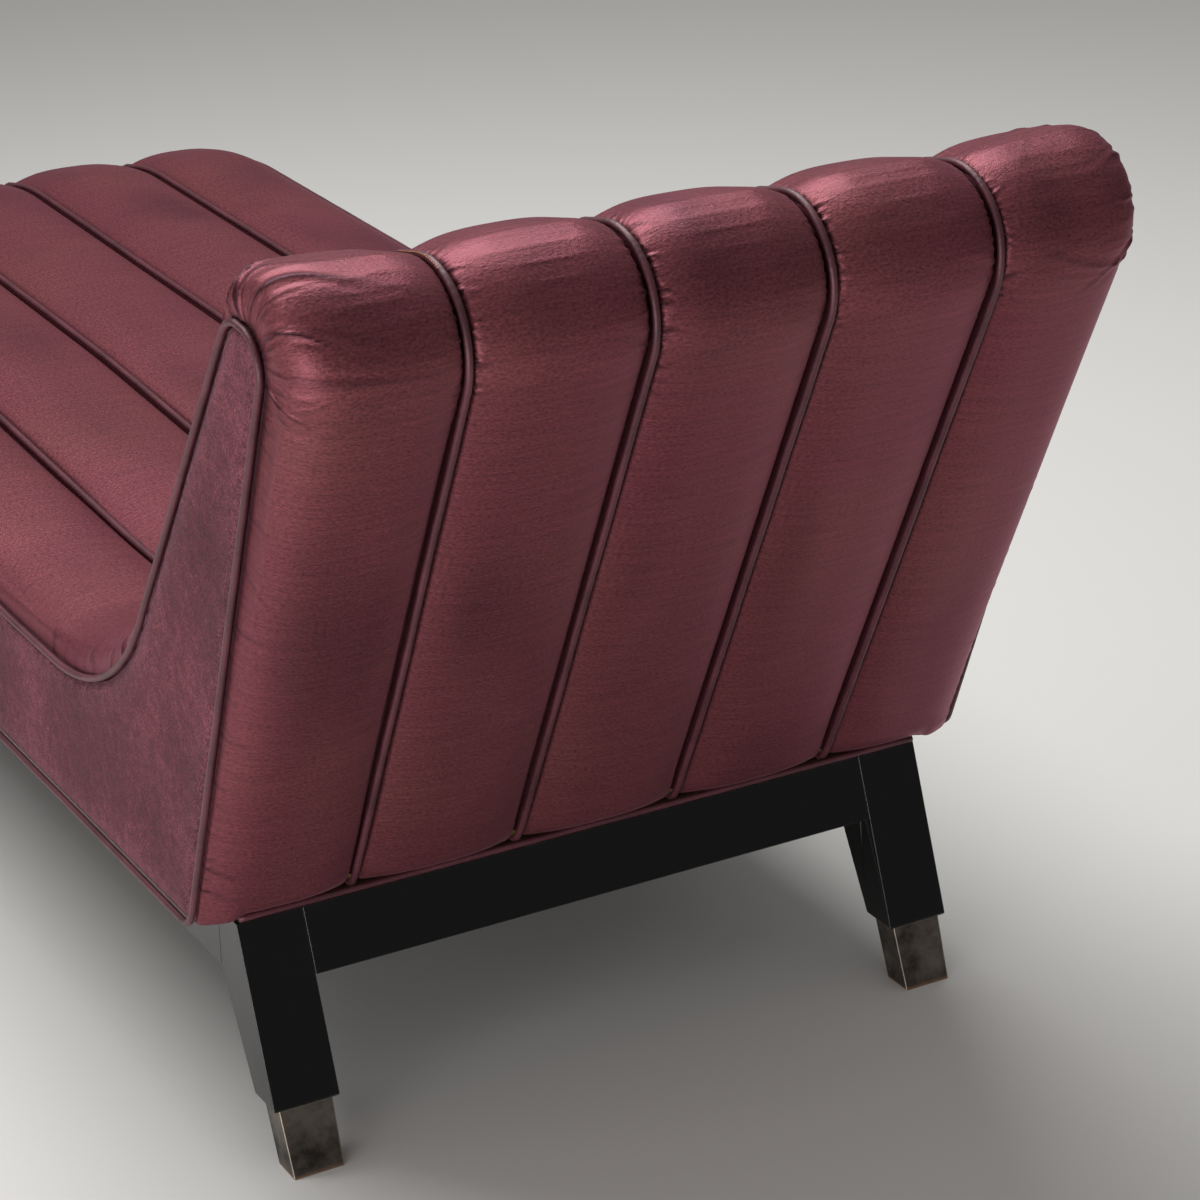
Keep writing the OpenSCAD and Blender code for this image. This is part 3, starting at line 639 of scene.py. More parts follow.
def fill_in(values: np.ndarray, places: np.ndarray, size: int, axis: int) -> np.ndarray:
    """Works out the values between the places where they are known.

    Args:
        values: The known values.
        places: Where they are along the axis.
        size: How many values are wanted along the axis.
        axis: The axis to fill in.

    Returns:
        The values, with that many along the axis.
    """
    wanted = np.arange(size)
    return np.apply_along_axis(lambda line: np.interp(wanted, places, line), axis, values)


def unevenness(places: Iterable[Sequence[float]]) -> np.ndarray:
    """Smooth random values between -1 and 1, one for each place."""
    return np.array([noise.noise(Vector(tuple(place))) for place in places])


@dataclass
class SideProfile:
    """The side view of the body: the side seam and the inner seams, station by station.

    A point is (y, z) from the body's lower rear corner, with z from the floor.
    """

    body_len: float = 1475.0
    body_z: float = 200.0
    end_lift: float = 8.0
    back_lean_depth: float = 208.0
    back_rise: float = 535.0
    shoulder_w: float = 61.0
    shoulder_tip: float = 5.0
    shoulder_r: float = 27.0
    shoulder_in_r: float = 30.0
    crook_depth: float = 130.0
    crook_rise: float = 134.0
    crook_r: float = 240.0
    dip_len: float = 265.0
    rise_len: float = 450.0
    rise_h: float = 37.0
    level_h: float = 12.0
    seat_blend_r: float = 1500.0
    foot_len: float = 112.0
    foot_drop: float = 25.0
    foot_lean_depth: float = 62.0
    fall_r: float = 400.0
    foot_r: float = 45.0
    low_swell: float = 7.0
    back_swell: float = 80.0
    top_swell: float = 57.0
    nose_swell: float = 18.0
    nose_lead: float = 13.0
    seat_swell: float = 23.0
    level_swell: float = 10.0
    swell_r: float = 58.0
    welt_d: float = 7.0
    channel_crown: float = 12.0
    fine_step: float = 1.3
    back_step: float = 3.2
    seat_step: float = 6.0
    coarse_steps: int = 8
    shoulder_fade: float = 26.0
    crook_fade: float = 60.0
    leg_lip: float = 5.0
    leg_splay: float = 74.0
    leg_d: float = 36.5
    sabot_d: float = 29.0
    seam: np.ndarray = field(init=False)
    seam_out: np.ndarray = field(init=False)
    inner: np.ndarray = field(init=False)
    inner_out: np.ndarray = field(init=False)
    along: np.ndarray = field(init=False)
    marks: dict = field(init=False)
    shoulder: np.ndarray = field(init=False)
    crook: np.ndarray = field(init=False)

    def __post_init__(self) -> None:
        """Works out both seams with the same stations."""
        corners, radii, inner_corners, inner_radii = self._corners()
        self.seam, self.marks = self._stations(corners, radii, inner_corners, inner_radii, first=True)
        self.inner, _ = self._stations(corners, radii, inner_corners, inner_radii, first=False)
        self.seam_out = self._normals(self.seam)
        self.inner_out = self._normals(self.inner)
        self.along = lengths_along(self.inner)
        self.shoulder = self.window(self.marks["shoulder"][0], self.marks["nose"][1], self.shoulder_fade)
        self.crook = self.window(*self.marks["crook"], self.crook_fade)

    def _corners(self) -> tuple[list, list, list, list]:
        """Works out the corners that both kinds of seam are rounded from.

        Returns:
            Corner points and radii of the side seam, then those of the inner seams.
        """
        rear = np.array([0.0, self.body_z])
        shoulder = np.array([self.back_lean_depth, self.body_z + self.back_rise])
        nose = shoulder + [-self.shoulder_w, self.shoulder_tip]
        crook = np.array([-self.crook_depth, self.body_z + self.crook_rise])
        dip = crook - [self.dip_len, 0.0]
        rise = dip + [-self.rise_len, self.rise_h]
        foot = np.array([-self.body_len - self.foot_lean_depth, rise[1] + self.level_h - self.foot_drop])
        fall = foot + [self.foot_len, self.foot_drop]
        front = np.array([-self.body_len, self.body_z])
        end_z = self.body_z + self.end_lift
        outer = [self.at_height(rear, shoulder, end_z), shoulder, nose, crook, dip, rise, fall, foot,
                 self.at_height(front, foot, end_z)]
        radii = [0, self.shoulder_r, self.shoulder_in_r, self.crook_r, self.seat_blend_r, self.seat_blend_r,
                 self.fall_r, self.foot_r, 0]
        in_rear = rear + [self.low_swell, 0.0]
        in_shoulder = shoulder + [self.back_swell, self.top_swell]
        in_foot = foot + [-self.level_swell, self.level_swell]
        in_front = front - [self.low_swell, 0.0]
        inner = [self.at_height(in_rear, in_shoulder, end_z), in_shoulder,
                 nose + [-self.nose_lead, self.nose_swell], crook + [-self.level_swell, self.seat_swell],
                 dip + [0.0, self.seat_swell], rise + [0.0, self.level_swell], fall + [0.0, self.level_swell],
                 in_foot, self.at_height(in_front, in_foot, end_z)]
        half = self.welt_d / 2
        inner_radii = [0, self.swell_r, self.shoulder_in_r + half, self.crook_r, self.seat_blend_r,
                       self.seat_blend_r, self.fall_r, self.foot_r + half, 0]
        return outer, radii, inner, inner_radii

    @staticmethod
    def at_height(p: np.ndarray, q: np.ndarray, z: float) -> np.ndarray:
        """Point at height z on the line through p and q."""
        return p + (q - p) * (z - p[1]) / (q[1] - p[1])

    @staticmethod
    def arc(p: np.ndarray, q: np.ndarray, s: np.ndarray, radius: float, steps: int) -> np.ndarray:
        """Points of the arc that rounds a corner.

        Args:
            p: The corner before it.
            q: The corner.
            s: The corner after it.
            radius: The arc's radius.
            steps: How many parts the arc has.

        Returns:
            The points, one more than the parts.
        """
        u = (p - q) / np.linalg.norm(p - q)
        v = (s - q) / np.linalg.norm(s - q)
        half = math.acos(float(u @ v)) / 2
        middle = (u + v) / np.linalg.norm(u + v)
        centre = q + middle * radius / math.sin(half)
        begin = q + u * radius / math.tan(half) - centre
        end = q + v * radius / math.tan(half) - centre
        turn = math.pi - 2 * half
        share = np.linspace(0, 1, steps + 1)[:, None]
        return centre + (begin * np.sin(turn * (1 - share)) + end * np.sin(turn * share)) / math.sin(turn)

    def _stations(self, outer: list, radii: list, inner: list, inner_radii: list, first: bool) -> tuple:
        """Points along one seam, as many on each arc and straight as the longer seam needs.

        Args:
            outer: Corner points of the side seam.
            radii: Their radii.
            inner: Corner points of the inner seams.
            inner_radii: Their radii.
            first: True for the side seam, False for the inner seams.

        Returns:
            The points, and the first and last station of the named arcs.
        """
        names = {1: "shoulder", 2: "nose", 3: "crook", 7: "foot"}
        seams = ((outer, radii), (inner, inner_radii))
        arcs = []
        for corner in range(1, len(outer) - 1):
            coarse = self._both_arcs(seams, corner, self.coarse_steps)
            length = max(np.linalg.norm(np.diff(arc, axis=0), axis=1).sum() for arc in coarse)
            steps = max(2, round(length / self._step(corner)))
            arcs.append(self._both_arcs(seams, corner, steps))
        pick = 0 if first else 1
        begins = [outer[0], inner[0]]
        ends = [outer[-1], inner[-1]]
        points = [begins[pick]]
        marks = {}
        for number, pair in enumerate(arcs, start=1):
            points += self._straight(begins, [arc[0] for arc in pair], pick, number)
            marks[names.get(number, str(number))] = (len(points), len(points) + len(pair[pick]) - 1)
            points.extend(pair[pick])
            begins = [arc[-1] for arc in pair]
        points += self._straight(begins, ends, pick, len(arcs) + 1)
        points.append(ends[pick])
        return np.array(points), marks

    def _both_arcs(self, seams: Sequence[tuple[list, list]], corner: int, steps: int) -> list[np.ndarray]:
        """Arcs of the side seam and of the inner seams at one corner, in the same number of parts.

        Args:
            seams: Corner points and radii of both.
            corner: The corner's number.
            steps: How many parts each arc has.

        Returns:
            The points of both arcs.
        """
        return [self.arc(*corners[corner - 1:corner + 2], radii[corner], steps) for corners, radii in seams]

    def _straight(self, begins: Sequence, ends: Sequence, pick: int, number: int) -> list[np.ndarray]:
        """Points between two arcs, as many as the longer seam needs.

        Args:
            begins: Where the straight begins, on the side seam and on the inner seams.
            ends: Where it ends on both.
            pick: 0 for the side seam's points, 1 for the inner seams' points.
            number: Number of the corner that it leads to.

        Returns:
            The points, without the first and the last.
        """
        length = max(np.linalg.norm(end - begin) for begin, end in zip(begins, ends))
        steps = max(1, round(length / self._step(number, straight=True)))
        return [begins[pick] + (ends[pick] - begins[pick]) * step / steps for step in range(1, steps)]

    def _step(self, corner: int, straight: bool = False) -> float:
        """Distance between stations.

        Args:
            corner: A corner's number.
            straight: True for the straight that leads to it, False for its arc.

        Returns:
            The distance in millimetres.
        """
        if corner <= 2 and not (straight and corner == 1):
            return self.fine_step
        return self.back_step if corner <= 3 else self.seat_step

    @staticmethod
    def _normals(points: np.ndarray) -> np.ndarray:
        """Outward normals of an open path.

        Args:
            points: The path's points.

        Returns:
            A unit direction for each.
        """
        ahead = np.gradient(points, axis=0)
        out = np.stack([ahead[:, 1], -ahead[:, 0]], axis=1)
        return out / np.linalg.norm(out, axis=1)[:, None]

    def window(self, begin: int, end: int, fade: float) -> np.ndarray:
        """A share for each station that is 1 from begin to end and fades out over a distance on both sides.

        Args:
            begin: First station of the stretch.
            end: Its last station.
            fade: Length of the fade.

        Returns:
            The shares.
        """
        before = (self.along[begin] - self.along) / fade
        after = (self.along - self.along[end]) / fade
        return eased(1 - np.maximum(before, after))

    @property
    def puff_window(self) -> np.ndarray:
        """How much of the shoulder's extra bulge each station has, as the CAD has it."""
        share = np.clip(self._cad_station() / 13.0, 0, 1)
        return np.sin(math.pi * share)

    def _cad_station(self) -> np.ndarray:
        """Counts the stations as the CAD does, with 7 steps on the shoulder and 4 on the nose.

        Returns:
            Each station's place in the CAD's count.
        """
        marks = self.marks
        count = np.arange(len(self.seam), dtype=float)
        begin, top = marks["shoulder"]
        nose, end = marks["nose"]
        return np.interp(count, [0, begin, top, nose, end, end + 1], [0, 1, 8, 9, 13, 14])

    @property
    def shift_y(self) -> float:
        """How far the row frame's origin lies in front of the body's lower rear corner.

        Returns:
            The distance that puts the whole chaise's length evenly about the origin.
        """
        rear = max(self.inner[:, 0] + self.channel_crown * self.inner_out[:, 0])
        crest = max(-self.inner[:, 0] - self.channel_crown * self.inner_out[:, 0])
        toe = self.body_len + self.leg_lip + self.leg_splay - (self.leg_d - self.sabot_d) / 2
        return (max(crest, toe) - rear) / 2


def link_object(name: str, data: bpy.types.ID) -> bpy.types.Object:
    """Makes an object and links it to the scene.

    Args:
        name: The object's name.
        data: Its mesh, camera or lamp.

    Returns:
        The new object.
    """
    made = bpy.data.objects.new(name, data)
    bpy.context.scene.collection.objects.link(made)
    return made


def piece_from(mesh: bmesh.types.BMesh, name: str) -> bpy.types.Object:
    """Makes an object from an edited mesh, which is freed.

    Args:
        mesh: The edited mesh.
        name: The piece's name.

    Returns:
        The new object.
    """
    data = bpy.data.meshes.new(name)
    mesh.to_mesh(data)
    mesh.free()
    return link_object(name, data)


def mesh_object(name: str, vertices: Sequence, faces: Sequence, smooth: bool = True) -> bpy.types.Object:
    """Makes an object from points in metres.

    Args:
        name: The piece's name.
        vertices: Points.
        faces: Lists of point numbers.
        smooth: True for smooth shading.

    Returns:
        The new object.
    """
    data = bpy.data.meshes.new(name)
    data.from_pydata([tuple(v) for v in vertices], [], [tuple(f) for f in faces])
    data.update()
    if smooth:
        data.shade_smooth()
    return link_object(name, data)


def turn_outwards(piece: bpy.types.Object) -> None:
    """Turns the faces of a closed piece outwards.

    Args:
        piece: The piece.
    """
    mesh = bmesh.new()
    mesh.from_mesh(piece.data)
    bmesh.ops.recalc_face_normals(mesh, faces=mesh.faces)
    mesh.to_mesh(piece.data)
    mesh.free()


def placement(beside: Vector, above: Vector, back: Vector, place: Vector) -> Matrix:
    """Matrix of a camera or lamp from its three axes and its place in metres."""
    columns = (beside, above, back, place)
    return Matrix([[column[row] for column in columns] for row in range(3)] + [[0, 0, 0, 1]])


def dress(piece: bpy.types.Object, material: bpy.types.Material) -> None:
    """Gives a piece one material."""
    piece.data.materials.clear()
    piece.data.materials.append(material)


def set_value(piece: bpy.types.Object, name: str, values: np.ndarray) -> None:
    """Writes one value a point under a name that the shader reads."""
    layer = piece.data.attributes.get(name) or piece.data.attributes.new(name, "FLOAT", "POINT")
    layer.data.foreach_set("value", np.asarray(values, dtype=np.float32))


def write_lay(piece: bpy.types.Object, across: np.ndarray, along: np.ndarray) -> None:
    """Writes the cloth's lay in metres as the piece's UV map.

    Args:
        piece: The piece, whose points are rows by columns.
        across: Distance across the cloth for each point.
        along: Distance along the cloth for each point.
    """
    lay = np.stack([across, along], axis=-1).reshape(-1, 2) * MM
    layer = piece.data.uv_layers.new(name="lay")
    corners = np.empty(len(piece.data.loops), dtype=np.int32)
    piece.data.loops.foreach_get("vertex_index", corners)
    layer.data.foreach_set("uv", lay[corners].astype(np.float32).ravel())


def enter(piece: bpy.types.Object, nodes: Sequence[str]) -> None:
    """Lets a piece ride on the body in place of CAD nodes, which are hidden.

    Args:
        piece: The piece.
        nodes: Names of the CAD nodes that it replaces.
    """
    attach(piece, ROOT_BODY)
    for node in nodes:
        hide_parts(node)
    LOG.info("%s: %d points", piece.name, len(piece.data.vertices))


def coordinates(piece: bpy.types.Object) -> np.ndarray:
    """Reads a piece's points.

    Args:
        piece: The piece.

    Returns:
        One row a point, in metres.
    """
    flat = np.empty(len(piece.data.vertices) * 3, dtype=np.float32)
    piece.data.vertices.foreach_get("co", flat)
    return flat.reshape(-1, 3).astype(float)


def put_coordinates(piece: bpy.types.Object, points: np.ndarray) -> None:
    """Writes a piece's points back."""
    piece.data.vertices.foreach_set("co", np.asarray(points, dtype=np.float32).ravel())
    piece.data.update()


def bake_modifiers(piece: bpy.types.Object) -> None:
    """Applies a piece's modifiers to its mesh.

    Args:
        piece: The piece.
    """
    depsgraph = bpy.context.evaluated_depsgraph_get()
    baked = bpy.data.meshes.new_from_object(piece.evaluated_get(depsgraph), preserve_all_data_layers=True,
                                            depsgraph=depsgraph)
    old = piece.data
    piece.modifiers.clear()
    piece.data = baked
    bpy.data.meshes.remove(old)


@dataclass(frozen=True)
class Pleats:
    """Sharp little folds that a sewn edge gathers into the cloth, as a height over its surface."""

    seed: int
    pitch: float
    depth: float
    reach: float
    width: float
    slant: float = 0.0
    spread: float = 0.35
    ridge_h: float = 0.55
    ridge_at: float = 2.4
    ridge_w: float = 1.4

    def heights(self, number: int, along: np.ndarray, inward: np.ndarray, strength: np.ndarray) -> np.ndarray:
        """Heights in millimetres.

        Args:
            number: The channel's number, so that no two channels have the same folds.
            along: Distance along the seam, one a row.
            inward: Distance from the seam, rows by columns.
            strength: Share of the full depth, one a row.

        Returns:
            A height for each point, positive outwards.
        """
        draw = random.Random(self.seed + number)
        total = np.zeros_like(inward)
        window = 3 * self.reach
        place = float(along[0])
        while place < along[-1]:
            width = self.width * draw.uniform(0.7, 1.5)
            reach = self.reach * draw.uniform(0.35, 1.3)
            depth = self.depth * draw.uniform(0.3, 1.0)
            slant = self.slant + draw.uniform(-self.spread, self.spread)
            curl = draw.uniform(-0.3, 0.3) / self.reach
            first, last = np.searchsorted(along, [place - window, place + window])
            near = inward[first:last]
            offset = np.abs(along[first:last, None] - place - slant * near - curl * near**2)
            ridge = (offset - self.ridge_at * width) / (self.ridge_w * width)
            crease = self.ridge_h * np.exp(-(ridge**2)) - np.exp(-offset / width)
            total[first:last] += depth * crease * np.exp(-((near / reach) ** 1.8))
            place += self.pitch * draw.uniform(0.45, 1.6)
        return total * strength[:, None]


@dataclass(kw_only=True)
class Cover:
    """What all parts of the cover share: where the seams lie, and how the lower hems pull them in."""

    profile: SideProfile
    body_w: float = 720.0
    channel_w: float = 148.0
    welt_d: float = 7.0
    welt_lift: float = 1.5
    fit: float = 0.3
    over: float = 1.0
    panel_t: float = 9.5
    hem_len: float = 22.0
    hem_dip: float = 5.0

    @property
    def welt_r(self) -> float:
        """Radius of the piping."""
        return self.welt_d / 2

    @property
    def seam_x(self) -> float:
        """Distance of the side piping from the middle."""
        return self.body_w / 2 - self.welt_r

    def inner_x(self, number: int) -> float:
        """Place across of inner seam 1 to 4."""
        return (2.5 - number) * self.channel_w

    def _from_ends(self) -> np.ndarray:
        """Distance of each station from the nearer lower hem."""
        along = self.profile.along
        return np.minimum(along, along[-1] - along)

    def _hem(self) -> np.ndarray:
        """How far each station is pulled in by the two lower hems, from 0 to 1."""
        share = np.clip(self._from_ends() / self.hem_len, 0, 1)
        return 1 - np.sqrt(np.clip(1 - (1 - share) ** 2, 0, 1))

    def _row(self, x: float, yz: np.ndarray) -> np.ndarray:
        """Side view points at one place across, in the row frame."""
        return np.concatenate([np.full((len(yz), 1), x), yz + [self.profile.shift_y, 0]], axis=1)

    def _loop(self) -> tuple[np.ndarray, np.ndarray]:
        """Lays out the middle of the piping round a side panel.

        Returns:
            The points of the closed outline, and its outward normals.
        """
        profile = self.profile
        corner_r = 3 * self.welt_d
        corner_steps = 6
        pitch = 8.0
        far = 30
        low = profile.body_z + self.welt_r
        upper = profile.seam
        front = profile.at_height(upper[-1], upper[-2], low)
        rear = profile.at_height(upper[0], upper[1], low)
        arc_front = profile.arc(upper[-far], front, rear, corner_r, corner_steps)
        arc_rear = profile.arc(front, rear, upper[far], corner_r, corner_steps)
        keep = upper[(upper[:, 1] > arc_rear[-1][1] + 1)]
        count = round(np.linalg.norm(arc_front[-1] - arc_rear[0]) / pitch)
        bottom = arc_front[-1] + (arc_rear[0] - arc_front[-1]) * np.linspace(0, 1, count)[1:-1, None]
        loop = np.concatenate([keep, arc_front, bottom, arc_rear])
        ahead = np.roll(loop, -1, axis=0) - np.roll(loop, 1, axis=0)
        out = np.stack([ahead[:, 1], -ahead[:, 0]], axis=1)
        return loop, out / np.linalg.norm(out, axis=1)[:, None]


@dataclass(kw_only=True)
class Channels(Cover):
    """The five padded channels, whose cloth is filled, pleated and closed over its stuffing."""

    satin: bpy.types.Material
    # The crowned sheet of cloth between two seams.
    cross_steps: int = 36
    pad_t: float = 10.0
    crown_power: float = 3.0
    edge_power: float = 4.0
    roll_power: int = 50
    shoulder_puff: float = 20.0
    side_puff: float = 12.0
    seam_gap: float = 0.9
    seam_roll: float = 5.0
    side_roll: float = 3.0
    groove_low: float = 6.0
    # Its lower hems, which are let down where an outer channel ends over a leg.
    hem_z: float = 199.3
    hem_cover: float = 1.0
    tuck_share: float = 1.2
    side_tuck: float = 0.9
    corner_drop: float = 6.5
    corner_x: float = 318.0
    corner_w: float = 10.0
    corner_fade: float = 30.0
    # The filling, found by a cloth simulation.
    swell_cap: float = 1.5
    slack_share: float = -0.012
    gather_w: float = 0.3
    gather_least: float = 0.25
    sim_frames: int = 20
    sim_every: int = 2
    # Pleats at the seams of every channel, of the inner ones and of the outer ones.
    edge_pleats: Pleats = Pleats(10, pitch=6.0, depth=2.2, reach=10.0, width=1.3)
    wide_pleats: Pleats = Pleats(110, pitch=34.0, depth=1.0, reach=22.0, width=2.6)
    inner_pleats: Pleats = Pleats(30, pitch=5.5, depth=2.2, reach=10.0, width=1.3)
    inner_wide_pleats: Pleats = Pleats(50, pitch=30.0, depth=1.1, reach=20.0, width=2.6)
    deep_pleats: Pleats = Pleats(30, pitch=9.0, depth=4.4, reach=58.0, width=1.6, slant=-0.1, spread=0.15)
    fine_pleats: Pleats = Pleats(40, pitch=6.0, depth=2.2, reach=30.0, width=1.3, spread=0.15)
    long_pleats: Pleats = Pleats(50, pitch=26.0, depth=1.4, reach=80.0, width=2.0, slant=-0.1, spread=0.15)
    side_pleats: Pleats = Pleats(70, pitch=14.0, depth=1.5, reach=22.0, width=1.7, spread=0.15)
    crook_pleats: Pleats = Pleats(90, pitch=20.0, depth=1.8, reach=40.0, width=3.0, slant=0.2, spread=0.4)
    # How strong the pleats are under the top, behind the back and in the crook of the seat.
    top_least: float = 0.06
    top_more: float = 0.9
    top_fade: float = 60.0
    back_least: float = 0.1
    back_fade: float = 30.0
    crook_least: float = 0.15
    crook_more: float = 0.5
    sewn_w: float = 2.0
    # Broad waves of the cloth, and the depth and width of the shade in its creases.
    wave_h: float = 0.5
    wave_across: float = 90.0
    wave_along: float = 190.0
    # Broad waves of the cloth, and how deep and wide the painted shade is in its creases and by its seams.
    wave_fade: float = 40.0
    crease_h: float = 0.9
    crease_w: float = 2.2

    def _shares(self) -> np.ndarray:
        """Shares across a channel from -1 to 1, closer together at the seams."""
        return -np.cos(np.linspace(0, math.pi, self.cross_steps + 1))

    def _crown(self, t: np.ndarray, left_roll: float, right_roll: float) -> np.ndarray:
        """Height of a channel at each station and share, with the cloth rolled down into its seams and hems.

        Args:
            t: Shares across, from -1 to 1.
            left_roll: How deep the cloth dives at share -1.
            right_roll: How deep it dives at share 1.

        Returns:
            Heights over the inner seams, stations by shares.
        """
        crown = self.profile.channel_crown * (1 - np.abs(t) ** self.crown_power)
        roll = np.where(t < 0, left_roll, right_roll) * np.abs(t) ** self.roll_power
        hem = self._hem()[:, None]
        return crown[None, :] * (1 - hem) - self.hem_dip * hem - roll[None, :]

    def _edge(self, t: np.ndarray) -> np.ndarray:
        """How much of its swell an outer channel keeps at share t."""
        return np.clip(1 - ((1 + t) / 2) ** self.edge_power, 0, 1) ** (1 / self.edge_power)

    def _inner_sheet(self, a: float, b: float) -> np.ndarray:
        """Lays out an inner channel's cloth.

        Args:
            a: Place across of its left seam.
            b: Place across of its right seam.

        Returns:
            Points, stations by shares.
        """
        t = self._shares()
        p, n = self.profile.inner, self.profile.inner_out
        x = (a + b) / 2 + t * ((b - a) / 2 - self.welt_r - self.seam_gap)
        rise = self._crown(t, self.seam_roll, self.seam_roll) + self.over
        yz = p[:, None, :] + rise[:, :, None] * n[:, None, :]
        return np.concatenate([np.broadcast_to(x, rise.shape)[:, :, None], yz], axis=2)

    def _outer_sheet(self) -> np.ndarray:
        """Lays out the left outer channel's cloth, from its inner seam to the side seam.

        Returns:
            Points, stations by shares.
        """
        t = self._shares()
        profile = self.profile
        s, p, n = profile.seam, profile.inner, profile.inner_out
        begin = self.inner_x(1) + self.welt_r + self.seam_gap
        end = self.seam_x - self.welt_r - self.fit
        puff = profile.puff_window[:, None] * (((1 + t) / 2) ** 3 * self._edge(t))[None, :]
        x = begin + (end - begin) * (1 + t)[None, :] / 2 + self.side_puff * puff
        rise = self._crown(t, self.seam_roll, self.side_roll)
        rise = rise + self.over * (1 - t)[None, :] / 2 + self.shoulder_puff * puff
        low = s[:, None, :] + (p - s)[:, None, :] * self._edge(t)[None, :, None]
        yz = low + rise[:, :, None] * n[:, None, :]
        return np.concatenate([x[:, :, None], yz], axis=2)

    def _sheet_object(self, name: str, sheet: np.ndarray) -> bpy.types.Object:
        """Makes a cloth object.

        Args:
            name: The object's name.
            sheet: Its points, stations by shares.

        Returns:
            The new object.
        """
        rows, columns, _ = sheet.shape
        points = (sheet + [0.0, self.profile.shift_y, 0.0]).reshape(-1, 3) * MM
        number = np.arange(rows * columns).reshape(rows, columns)
        quads = np.stack([number[:-1, :-1], number[:-1, 1:], number[1:, 1:], number[1:, :-1]], axis=-1)
        return mesh_object(name, points, quads.reshape(-1, 4).tolist())

    def _gathered(self, columns: int) -> np.ndarray:
        """How much more cloth than seam was sewn in, which is most at the seams of the shoulder.

        Args:
            columns: Points in each row of the cloth.

        Returns:
            Shares from 0 to 1, stations by points.
        """
        count = np.arange(columns)
        edge = np.clip(1 - np.minimum(count, columns - 1 - count) / (columns * self.gather_w), 0, 1)
        return edge[None, :] * np.clip(self.gather_least + self.profile.shoulder, 0, 1)[:, None]

    def _swell(self, sheet: np.ndarray, gather: np.ndarray) -> np.ndarray:
        """How far the stuffing pushes each point of a cloth out, found by a short cloth simulation.

        The cloth is filled under pressure on every second point and held where it is sewn. What it moves is
        capped and spread over the whole sheet.

        Args:
            sheet: The cloth's stations by shares.
            gather: For each point, how much more cloth than seam was sewn in, from 0 to 1.

        Returns:
            Moves in millimetres, stations by shares.
        """
        sizes = sheet.shape[:2]
        picks = [np.unique(np.append(np.arange(0, size, self.sim_every), size - 1)) for size in sizes]
        coarse = sheet[np.ix_(*picks)]
        piece = self._sheet_object("filling_cloth", coarse)
        rows, columns, _ = coarse.shape
        sewn = np.zeros((rows, columns), dtype=bool)
        sewn[:, 0] = sewn[:, -1] = True
        sewn[0, :] = sewn[-1, :] = True
        piece.vertex_groups.new(name="sewn").add(np.flatnonzero(sewn.ravel()).tolist(), 1.0, "REPLACE")
        slack = piece.vertex_groups.new(name="slack")
        levels = np.round(gather[np.ix_(*picks)].ravel() * 10).astype(int)
        for level in range(1, 11):
            members = np.flatnonzero(levels == level).tolist()
            if members:
                slack.add(members, level / 10, "REPLACE")
        before = coordinates(piece)
        self._fill_cloth(piece)
        moved = coordinates(piece) - before
        bpy.data.objects.remove(piece)
        far = np.linalg.norm(moved, axis=1)
        cap = self.swell_cap * MM
        moved *= (cap * np.tanh(far / cap) / np.maximum(far, 1e-9))[:, None]
        moved = moved.reshape(rows, columns, 3) / MM
        for axis, size in enumerate(sizes):
            moved = fill_in(moved, picks[axis], size, axis)
        return moved

    def _fill_cloth(self, piece: bpy.types.Object) -> None:
        """Runs the cloth simulation on a piece and keeps its last shape.

        Args:
            piece: The cloth, with its groups of sewn and of gathered points.
        """
        cloth = piece.modifiers.new("filling", "CLOTH")
        settings = cloth.settings
        settings.quality = 5
        settings.mass = 0.3
        settings.tension_stiffness = 25
        settings.compression_stiffness = 25
        settings.shear_stiffness = 8
        settings.bending_stiffness = 0.6
        settings.tension_damping = 12
        settings.compression_damping = 12
        settings.air_damping = 4
        settings.vertex_group_mass = "sewn"
        settings.vertex_group_shrink = "slack"
        settings.shrink_min = 0.0
        settings.shrink_max = self.slack_share
        settings.use_pressure = True
        settings.uniform_pressure_force = 4.0
        settings.effector_weights.gravity = 0.0
        cloth.collision_settings.use_self_collision = False
        cloth.point_cache.frame_end = self.sim_frames
        scene = bpy.context.scene
        for number in range(1, self.sim_frames + 1):
            scene.frame_set(number)
        bake_modifiers(piece)
        scene.frame_set(1)

    def _pleated(self, number: int, from_left: np.ndarray, from_right: np.ndarray) -> np.ndarray:
        """Adds up the pleats along both seams of a channel.

        Args:
            number: The channel's number.
            from_left: Distance of each point from its left seam.
            from_right: Distance from its right seam, or from the side seam in an outer channel.

        Returns:
            Heights in millimetres, stations by shares.
        """
        profile = self.profile
        along = profile.along
        first, last = profile.marks["shoulder"]
        under_top = self.top_least + self.top_more * profile.window(first, last, self.top_fade)
        behind = self.back_least + profile.window(0, first, self.back_fade)
        in_crook = self.crook_least + self.crook_more * profile.crook
        height = self.edge_pleats.heights(number, along, from_left, under_top)
        if number in (1, 5):
            height += self.deep_pleats.heights(number, along, from_right, profile.shoulder)
            height += self.fine_pleats.heights(number, along, from_right, profile.shoulder)
            height += self.long_pleats.heights(number, along, from_right, profile.shoulder)
            height += self.side_pleats.heights(number, along, from_right, behind)
            height += self.crook_pleats.heights(number, along, from_right, profile.crook)
        else:
            height += self.inner_pleats.heights(number, along, from_right, under_top)
            height += self.inner_wide_pleats.heights(number, along, from_right, in_crook)
        return height + self.wide_pleats.heights(number, along, from_left, in_crook)

